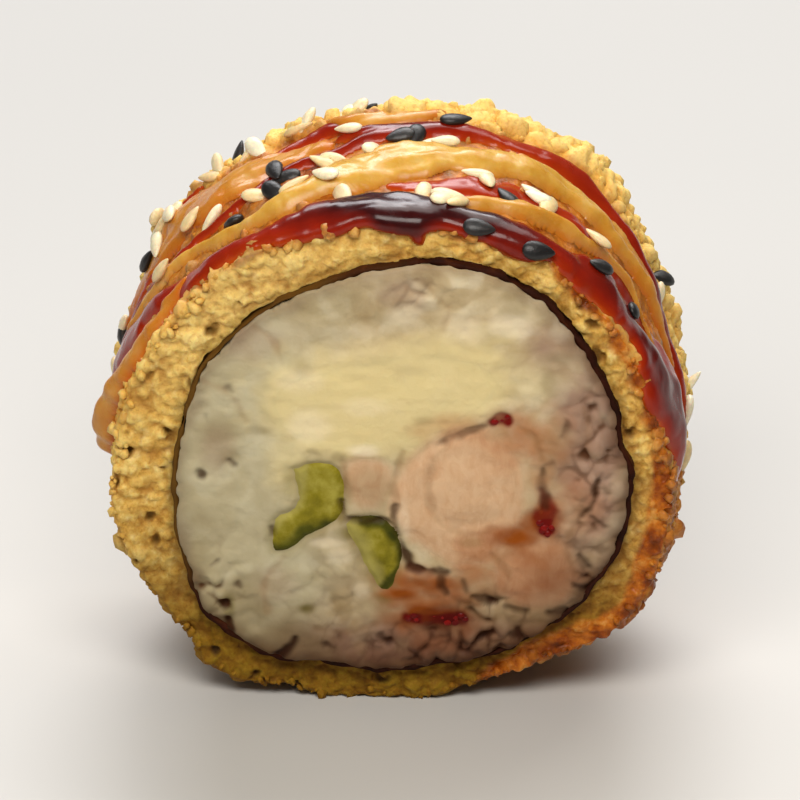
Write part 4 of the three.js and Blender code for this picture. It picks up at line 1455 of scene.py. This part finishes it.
    def add_height(self):
        """The relief of the whole cut face, and its painted shade in the hollows, along the seaweed and
        towards the bottom.
        """
        fields, place = self.fields, self.place
        filled = ramped(self.deepest(FILLING_NODES), -0.8 * MM, 0.5 * MM)
        grainy = np.clip(fields["grainy"] * (1 + 0.4 * self.noise(3.0, self.seed)), 0, 1) * (1 - filled)
        grainy *= 1 - 0.8 * fields["cheese"]
        height, tone = self.grains(grainy)
        blobs = lumps(place + 0.3 * self.torn[..., None], 2.3 * MM, self.seed + 8)
        height = blurred(height + (0.75 * blobs - 0.3) * grainy * MM, 2)
        height *= 1 - 0.85 * filled
        height += 0.06 * MM * rough_noise(place, 0.8 * MM, self.seed + 4) * (1 - 0.6 * filled)
        streaks = noise(place * (0.25, 1, 1.2), 0.9 * MM, self.seed + 14)
        height += 0.05 * MM * streaks * (1 - grainy)
        height += 0.22 * MM * fields["cheese"] * (1 + 0.5 * rough_noise(place, 2.6 * MM, 52))
        height += 0.1 * MM * fields["film"] + 0.12 * MM * fields["warm"] * (1 - filled)
        for node, dome in (("shrimp_large", 0.34), ("shrimp_small", 0.2), ("shrimp_lobe", 0.24)):
            height += dome * MM * ramped(fields[node], -0.8 * MM, 1.6 * MM)
        height += self.muscle_relief() * ramped(fields["shrimp_large"], 0, 0.8 * MM)
        height += 0.1 * MM * rough_noise(place, 1.8 * MM, 72) * fields["meat"]
        for node in CUCUMBER_NODES:
            height += (0.12 + 0.1 * self.noise(1.8, 81)) * MM * ramped(fields[node], 0, 0.4 * MM)
            height -= 0.16 * MM * np.exp(-((fields[node] / (0.3 * MM)) ** 2))
        height -= (0.34 * fields["crease"] + 0.12 * fields["blood"] + 0.14 * fields["groove"]) * MM
        # painted shade in the hollows between grains and blobs, and a painted shadow along the seaweed,
        # deeper on the right and at the bottom
        smooth = blurred(height, 40)
        dip = ramped(smooth - height, 0.04 * MM, 0.32 * MM) * np.clip(0.35 + 0.8 * grainy, 0, 1)
        dip *= 1 - 0.6 * filled
        dip = np.maximum(dip, ramped(blobs, 0.3, 0.05) * grainy * 0.85)
        rim = self.radius - nori_line(self.angle, RIM_SHARES[self.side])
        rim += 0.5 * MM * self.noise(1.6, 94)
        dark_side = np.maximum(ramped(self.x - self.z, -6 * MM, 14 * MM), ramped(self.z, -4 * MM, -14 * MM))
        shadow = ramped(rim, -1.7 * MM, 0.1 * MM) * (0.45 + 0.3 * dark_side)
        fields["dip"] = np.maximum(dip, shadow)
        # painted shade, darker towards the bottom and more so on the right
        low = self.z + 2 * MM * self.noise(5, 97)
        fields["dusk"] = ramped(low - np.where(self.x > 0, 0.35, 0.15) * self.x, -9 * MM, -22 * MM) * 0.9
        fields["height"], fields["tone"] = height, tone

    def muscle_relief(self):
        """The round muscle inside the large shrimp, with a soft groove that is deepest at its lower left."""
        middle_x, middle_z, half_width, half_height = 6.0, -2.1, 3.7, 3.6
        x, z = self.x / MM - middle_x, self.z / MM - middle_z
        gap = np.hypot(x / half_width, z / half_height) - 1 + 0.1 * self.noise(2.6, 70)
        lower_left = 0.5 - 0.5 * np.cos(np.arctan2(z, x) - math.radians(35))
        groove = -0.12 * np.exp(-((gap / 0.16) ** 2)) * (0.2 + 0.8 * lower_left)
        return (groove + 0.22 * ramped(-gap, -0.1, 0.8)) * MM

    def at(self, name, flat):
        """A field's values at flat points, in the solids' own frame."""
        row, column = ((flat - (AXIS_X, AXIS_Z))[:, ::-1].T + self.REACH) / self.STEP
        return sampled(self.fields[name], row, np.clip(column, 0, self.count - 1))

    def tints(self, flat):
        """All the tints that the face's materials mix, at flat points."""
        return {name: self.at(name, flat) for name in FACE_TINTS}


cut_faces = {FRONT: CutFace(FRONT, 12), BACK: CutFace(BACK, 32)}


def on_face(flat, side, height):
    """Points on a cut face at those heights."""
    offset, slope = cut_plane("rice", side)
    return np.stack([flat[:, 0], offset + slope * flat[:, 1] + side * height, flat[:, 1]], axis=1)


def sunk(distance, node):
    """How deep one piece dips under another, this far past their border; most round the sticks."""
    distance = np.clip(distance, 0, 0.9 * MM)
    return 0.9 * distance**2 / MM + (0.5 * distance if node in CUCUMBER_NODES else 0)


def disc_grid(count):
    """Even points over a unit disc, in rows and columns whose outer ones lie on its rim."""
    line = np.linspace(-1, 1, count)
    across, up = np.meshgrid(line, line)
    wide = np.abs(across) >= np.abs(up)
    radius = np.where(wide, across, up)
    safe = np.where(radius == 0, 1, radius)
    turn = np.where(wide, math.pi / 4 * up / safe, math.pi / 2 - math.pi / 4 * across / safe)
    return np.stack([radius * np.cos(turn), radius * np.sin(turn)], axis=-1)


def make_rice(name, side, count, material, *nodes):
    """Half of the disc of packed rice, from the middle of the roll to one cut face."""
    face = cut_faces[side]
    disc = disc_grid(count)
    angle = np.arctan2(disc[..., 1], disc[..., 0])
    rim_radius = nori_line(angle, RIM_SHARES[side])
    place = round_axis(angle, 20 * MM + 0 * angle, 0.0)
    bites = noise(place, 0.9 * MM, 48) + 0.6 * noise(place, 0.45 * MM, 49)
    rim_radius = rim_radius - (0.12 + 0.16 * np.clip(bites, -0.7, 2)) * MM
    radius = np.hypot(disc[..., 0], disc[..., 1]) * rim_radius
    flat = round_axis(angle, radius, 0)[..., ::2].reshape(-1, 2)
    height = face.at("height", flat)
    for node in FILLING_NODES:
        height -= sunk(face.at(node, flat), node)
    rim = (radius - rim_radius).ravel()
    uneven = 0.5 + 0.7 * noise(on_face(flat, side, 0), 1.6 * MM, 98)
    height -= 0.2 * MM * ramped(rim, -0.45 * MM, 0) * uneven
    points = on_face(flat, side, height)
    values = face.tints(flat)
    grid = np.arange(count * count).reshape(count, count)
    corners = [grid[:-1, :-1], grid[:-1, 1:], grid[1:, 1:], grid[1:, :-1]]
    quads = np.stack([c.ravel() for c in (corners if side == FRONT else corners[::-1])], axis=1).tolist()
    edge = np.concatenate([grid[0, :-1], grid[:-1, -1], grid[-1, :0:-1], grid[:0:-1, 0]])
    rings, steps = [edge], 4
    for step in range(1, steps + 1):
        share = step / steps
        ring = points[edge] * (1, 1 - share, 1) + (0, MIDDLE_Y * share, 0)
        rings.append(np.arange(len(edge)) + len(points))
        points = np.concatenate([points, ring])
        values = {key: np.append(value, value[edge]) for key, value in values.items()}
    turned = [np.roll(ring, -1) for ring in rings]
    for near, near_turned, far, far_turned in zip(rings, turned, rings[1:], turned[1:]):
        wall = [near, far, far_turned, near_turned]
        quads += np.stack(wall if side == FRONT else wall[::-1], axis=1).tolist()
    quads.append((rings[-1] if side == FRONT else rings[-1][::-1]).tolist())
    dress(make_object(name, points, quads, material, values), "rice", *nodes)


def grown_outline(node, side, count, grow):
    """A node's cut outline as that many even points, moved outwards by grow."""
    outline = spline(cut_outline(node, side), count, closed=True)
    along = np.roll(outline, -1, axis=0) - np.roll(outline, 1, axis=0)
    along /= np.linalg.norm(along, axis=1, keepdims=True)
    return outline + np.stack([along[:, 1], -along[:, 0]], axis=1) * grow


def cap(outline, spacing):
    """Triangles over an outline, with the outline's own points first."""
    low, high = outline.min(0), outline.max(0)
    rows = np.arange(low[1], high[1], spacing * 0.866)
    columns = np.arange(low[0], high[0], spacing)
    x, z = np.meshgrid(columns, rows)
    x = x + spacing / 2 * (np.arange(len(rows)) % 2)[:, None]
    lattice = np.stack([x.ravel(), z.ravel()], axis=1)
    lattice = lattice[inside(lattice, outline)]
    lattice = lattice[edge_distance(lattice, outline) > spacing * 0.5]
    points = np.concatenate([outline, lattice])
    edges = [(i, (i + 1) % len(outline)) for i in range(len(outline))]
    found = delaunay_2d_cdt([Vector(p) for p in points / MM], edges, [], 1, 1e-6)
    return np.array(found[0])[:, :2] * MM, [list(f) for f in found[2]]


FILLING_GROW = 0.8 * MM  # how far a filling reaches past its outline, under the rice
FILLING_STEP = 0.19 * MM  # between the points of its cut faces


def make_filling(name, node, material, slot, extra=None):
    """A closed piece through the roll inside a node's outline, its two cut faces read off the cut faces.

    Past its outline it dips under the rice, which in turn dips under it inside the outline.
    """
    count = int(np.linalg.norm(np.diff(cut_outline(node, FRONT), axis=0), axis=1).sum() / FILLING_STEP)
    outlines = {side: grown_outline(node, side, count, FILLING_GROW) for side in (FRONT, BACK)}
    turned = [np.roll(outlines[BACK], k, axis=0) for k in range(count)]
    outlines[BACK] = min(turned, key=lambda outline: np.abs(outline - outlines[FRONT]).sum())
    points, triangles, values, start = [], [], [], 0
    for side in (FRONT, BACK):
        flat, faces = cap(outlines[side], FILLING_STEP)
        cut = cut_faces[side]
        height = cut.at("height", flat) - sunk(-cut.at(node, flat), node)
        points.append(on_face(flat, side, height))
        tints = cut.tints(flat)
        if extra:
            tints.update(extra(flat))
        values.append(tints)
        triangles += [[start + v for v in (face if side == BACK else face[::-1])] for face in faces]
        start += len(flat)
    rings, wall_rows = [np.arange(count)], 6
    for row in range(1, wall_rows):
        share = row / wall_rows
        points.append(points[0][:count] * (1 - share) + points[1][:count] * share)
        values.append({key: value[:count] for key, value in values[0].items()})
        rings.append(np.arange(count) + start)
        start += count
    rings.append(np.arange(count) + len(points[0]))
    for near, far in zip(rings, rings[1:]):
        triangles += [[near[i], near[(i + 1) % count], far[(i + 1) % count], far[i]] for i in range(count)]
    values = {key: np.concatenate([tints[key] for tints in values]) for key in values[0]}
    dress(make_object(name, np.concatenate(points), triangles, material, values), slot, node)


def beside(flat, line, width, seed):
    """From 0 to 1 near a line of (x, z) in mm from the roll's axis."""
    place = flat - (AXIS_X, AXIS_Z)
    rows = spline(np.array(line) * MM, 30)
    gap = np.linalg.norm(place[:, None] - rows[None], axis=-1).min(axis=1)
    sample = np.stack([flat[:, 0], 0 * gap, flat[:, 1]], axis=1)
    return ramped(gap + 0.35 * MM * noise(sample, 1.2 * MM, seed), width * MM, 0.25 * width * MM)


def stick_tints(skin, skin_width, pale, pale_width):
    """The tints of a stick of cucumber: its dark skin and its palest flesh, each along a line."""

    def tints(flat):
        return {"skin": beside(flat, skin, skin_width, 82), "pale": beside(flat, pale, pale_width, 83)}

    return tints


# Loose beads of roe on a cut face
STRAY_ROE = [(9.0, 5.2), (9.5, 5.5), (8.4, 5.0), (13.1, -5.7), (12.6, -6.2), (5.0, -15.4), (1.4, -15.3)]


def make_roe(material):
    """Beads of roe sunk in each roe node's outline at both cuts, and a few strays."""
    generator = np.random.default_rng(9)
    base, base_faces = ball(8, 10)
    shapes, tints = [], []
    for side in (FRONT, BACK):
        face = cut_faces[side]

        def in_red(spot, face=face):
            return face.at("blood", spot[None])[0] > 0.9

        spots = [np.array([AXIS_X + x * MM, AXIS_Z + z * MM]) for x, z in STRAY_ROE]
        for node in ROE_NODES:
            outline = cut_outline(node, side)
            spots += list(scattered(generator, outline.min(0), outline.max(0), 0.5 * MM, 300, in_red))
        for spot in spots:
            radius = generator.uniform(0.4, 0.62) * MM
            height = face.at("height", spot[None])[0] - generator.uniform(0.68, 0.98) * radius
            centre = on_face(spot[None], side, np.array([height]))[0]
            shapes.append((base * radius * generator.uniform(0.85, 1.15, 3) + centre, base_faces))
            tints.append(generator.random())
    dress(make_many("roe_beads", shapes, tints, material), "roe", *ROE_NODES)


# ---------------------------------------------------------------- sesame seeds

# Seeds given one by one: (turn in degrees, mm behind the middle)
WHITE_SEEDS = [
    (-11, 11.0), (-13, 10.4), (-21, 9.6), (-23, 9.0), (-33, 9.2), (-35, 9.8), (-43, 10.8), (-46, 10.2),
    (-15, 1.6), (-17, 1.0), (-31, -1.4), (-22, -3.6), (-43, 0.2), (-7, 1.9), (4, -6.2), (8, -8.0), (9, -7.2),
    (11, -8.4), (15, -2.2), (17, -3.4), (28, -3.0), (30, -3.8), (27, -2.4), (8, 2.4), (6, 3.0), (-56, 9.4),
    (-58, 8.4), (-60, 10.6), (-62, 9.4), (-55, 7.4), (-80, 6.0), (-86, 2.0),
]
BLACK_SEEDS = [
    (-38, 11.0), (-25, 0.4), (-27, 1.4), (2, 3.8), (-1, 3.5), (10, 6.5), (-38, -2.7), (16, -10.8), (44, -7.6),
    (58, -5.6), (29, -11.0), (-66, 7.0),
]
SEED_HALF = np.array([1.5, 0.82, 0.45]) * MM  # half a sesame seed's length, width and thickness


def seed_shape(base):
    """A sesame seed: a drop, pointed at one end."""
    along = base[:, :1]
    width = 1 - 0.34 * along - 0.1 * along**2
    return np.concatenate([along, base[:, 1:] * width], axis=1)


def make_seeds(name, material, places, extra, seed, ground):
    """Seeds laid on whatever is on top at their places, with some more scattered over the sides and back."""
    generator = np.random.default_rng(seed)
    base, base_faces = ball(9, 10)
    base = seed_shape(base)
    shapes, tints = [], []
    spots = [(math.radians(turn), behind * MM) for turn, behind in places]
    for _ in range(extra):
        turn, behind = math.radians(generator.uniform(-100, 100)), generator.uniform(-6, 11.5) * MM
        bare = 0.05 < turn < 1.0 and behind > 2 * MM  # the back of the right shoulder has none
        if not bare:
            spots.append((turn, behind))
    for turn, behind in spots:
        place = np.array([turn]), np.array([behind])
        high, low = (Vector(crust_place(*place, np.array([lift * MM]))[0]) for lift in (6, -2))
        hits = [tree.ray_cast(high, (low - high).normalized()) for tree in ground]
        hits = [h for h in hits if h[0] is not None]
        if not hits:
            continue
        spot, normal = min(hits, key=lambda h: h[3])[:2]
        upward = (high - low).normalized()
        normal = (normal * 0.6 + upward).normalized()
        aside = normal.orthogonal().normalized()
        about = generator.uniform(0, 2 * math.pi)
        first = (aside * math.cos(about) + normal.cross(aside) * math.sin(about)).normalized()
        first = (first + normal * generator.uniform(-0.14, 0.14)).normalized()
        second = normal.cross(first).normalized()
        third = first.cross(second)
        half = SEED_HALF * generator.uniform(0.9, 1.1, 3)
        shape = base * half @ np.array([first, second, third]) + np.array(spot + normal * 0.3 * MM)
        shapes.append((shape, base_faces))
        tints.append(generator.random())
    dress(make_many(name, shapes, tints, material), name)


# ---------------------------------------------------------------- the slice

crust_material = crust_finish()
crust = make_crust(crust_material)
make_crumbs(crust_material)
make_nori(nori_finish())
sauces = make_sauces(dark_sauce_finish(), mayo_finish())
rice_material = cut_finish("cooked rice", 0.5, 0.12)
make_rice("rice_front", FRONT, 250, rice_material, "rice")
make_rice("rice_back", BACK, 200, rice_material)
make_filling("cream_cheese_smear", "cream_cheese", cut_finish("cream cheese", 0.5, 0.12), "cream_cheese")
shrimp_material = cut_finish("cooked shrimp", 0.42, 0.18)
for shrimp in MEAT_NODES:
    make_filling(shrimp + "_meat", shrimp, shrimp_material, "shrimp")
cucumber_material = cucumber_finish()
upper_tints = stick_tints(
    skin=[(-11.4, -9.0), (-9.8, -7.9), (-8.4, -6.6), (-7.0, -6.2)],
    skin_width=1.5,
    pale=[(-9.0, 0.4), (-9.2, -3.0), (-11.6, -5.6)],
    pale_width=1.0,
)
make_filling("cucumber_upper_stick", "cucumber_upper", cucumber_material, "cucumber", extra=upper_tints)
lower_tints = stick_tints(
    skin=[(-3.4, -5.2), (-1.2, -5.4), (-0.1, -7.6), (0.0, -9.6), (-1.6, -12.6)],
    skin_width=0.9,
    pale=[(-4.6, -6.0), (-3.4, -9.0), (-2.2, -12.0)],
    pale_width=1.5,
)
make_filling("cucumber_lower_stick", "cucumber_lower", cucumber_material, "cucumber", extra=lower_tints)
make_roe(roe_finish())
ground = [tree_of(obj.data) for obj in [crust] + sauces]
white = seed_finish("white sesame", dark=(236, 206, 146), pale=(254, 246, 214))
black = seed_finish("black sesame", dark=(22, 20, 20), pale=(46, 42, 40))
make_seeds("sesame_white", white, WHITE_SEEDS, 14, 21, ground)
make_seeds("sesame_black", black, BLACK_SEEDS, 6, 22, ground)


# ---------------------------------------------------------------- floor, light and camera


def make_floor():
    """A plain pale floor."""
    finish = Finish("pale floor", Roughness=0.55)
    finish.colour(finish.ramp(finish.noise(0.2), (0.3, 196, 194, 190), (0.7, 202, 200, 196)))
    reach = 3.0
    corners = [(-reach, -reach, 0), (reach, -reach, 0), (reach, reach, 0), (-reach, reach, 0)]
    make_object("floor", corners, [(0, 1, 2, 3)], finish.material)


def aim(obj, target):
    """Turns a light or a camera to look at the target."""
    obj.rotation_euler = (Vector(target) - obj.location).to_track_quat("-Z", "Y").to_euler()


def make_light(name, place, size, power, colour, target):
    """A softbox that the camera doesn't see."""
    data = bpy.data.lights.new(name, "AREA")
    data.shape = "RECTANGLE"
    data.size, data.size_y = size
    data.energy = power
    data.color = colour
    light = bpy.data.objects.new(name, data)
    light.location = place
    light.visible_camera = False
    bpy.context.scene.collection.objects.link(light)
    aim(light, target)


def make_lights(target):
    """A softbox behind and above, a window farther back, a small one in front, a fill and a soft room."""
    make_light("key", (0.15, 0.42, 0.6), (0.6, 0.4), 3.0, (1.0, 0.97, 0.93), target)
    make_light("window", (-0.1, 0.8, 0.62), (0.8, 0.3), 6.5, (0.96, 0.97, 1.0), target)
    make_light("front top", (-0.01, -0.15, 0.23), (0.2, 0.1), 0.6, (1.0, 0.96, 0.9), target)
    make_light("side fill", (-0.5, -0.35, 0.3), (0.5, 0.5), 0.16, (1.0, 0.97, 0.92), target)
    world = bpy.data.worlds.new("soft room")
    world.use_nodes = True
    background = world.node_tree.nodes["Background"]
    background.inputs["Color"].default_value = (1.0, 0.97, 0.93, 1)
    background.inputs["Strength"].default_value = 0.085
    bpy.context.scene.world = world


def make_camera(target):
    """Nearly in line with the roll, a little to its right, and looking down at 29 degrees."""
    elevation, side, distance, view_width = math.radians(29), math.radians(1.5), 1.3, 0.072
    data = bpy.data.cameras.new("camera")
    data.sensor_width = 36
    data.lens = 36 * distance / view_width
    data.clip_end = 20
    camera = bpy.data.objects.new("camera", data)
    level = Vector((math.sin(side), -math.cos(side), 0)) * math.cos(elevation)
    camera.location = target + (level + Vector((0, 0, math.sin(elevation)))) * distance
    bpy.context.scene.collection.objects.link(camera)
    aim(camera, target)
    bpy.context.scene.camera = camera


middle = (Vector(cad_box[0]) + Vector(cad_box[1])) / 2
make_floor()
make_lights(middle)
make_camera(middle)
bpy.context.scene.view_settings.view_transform = "Standard"
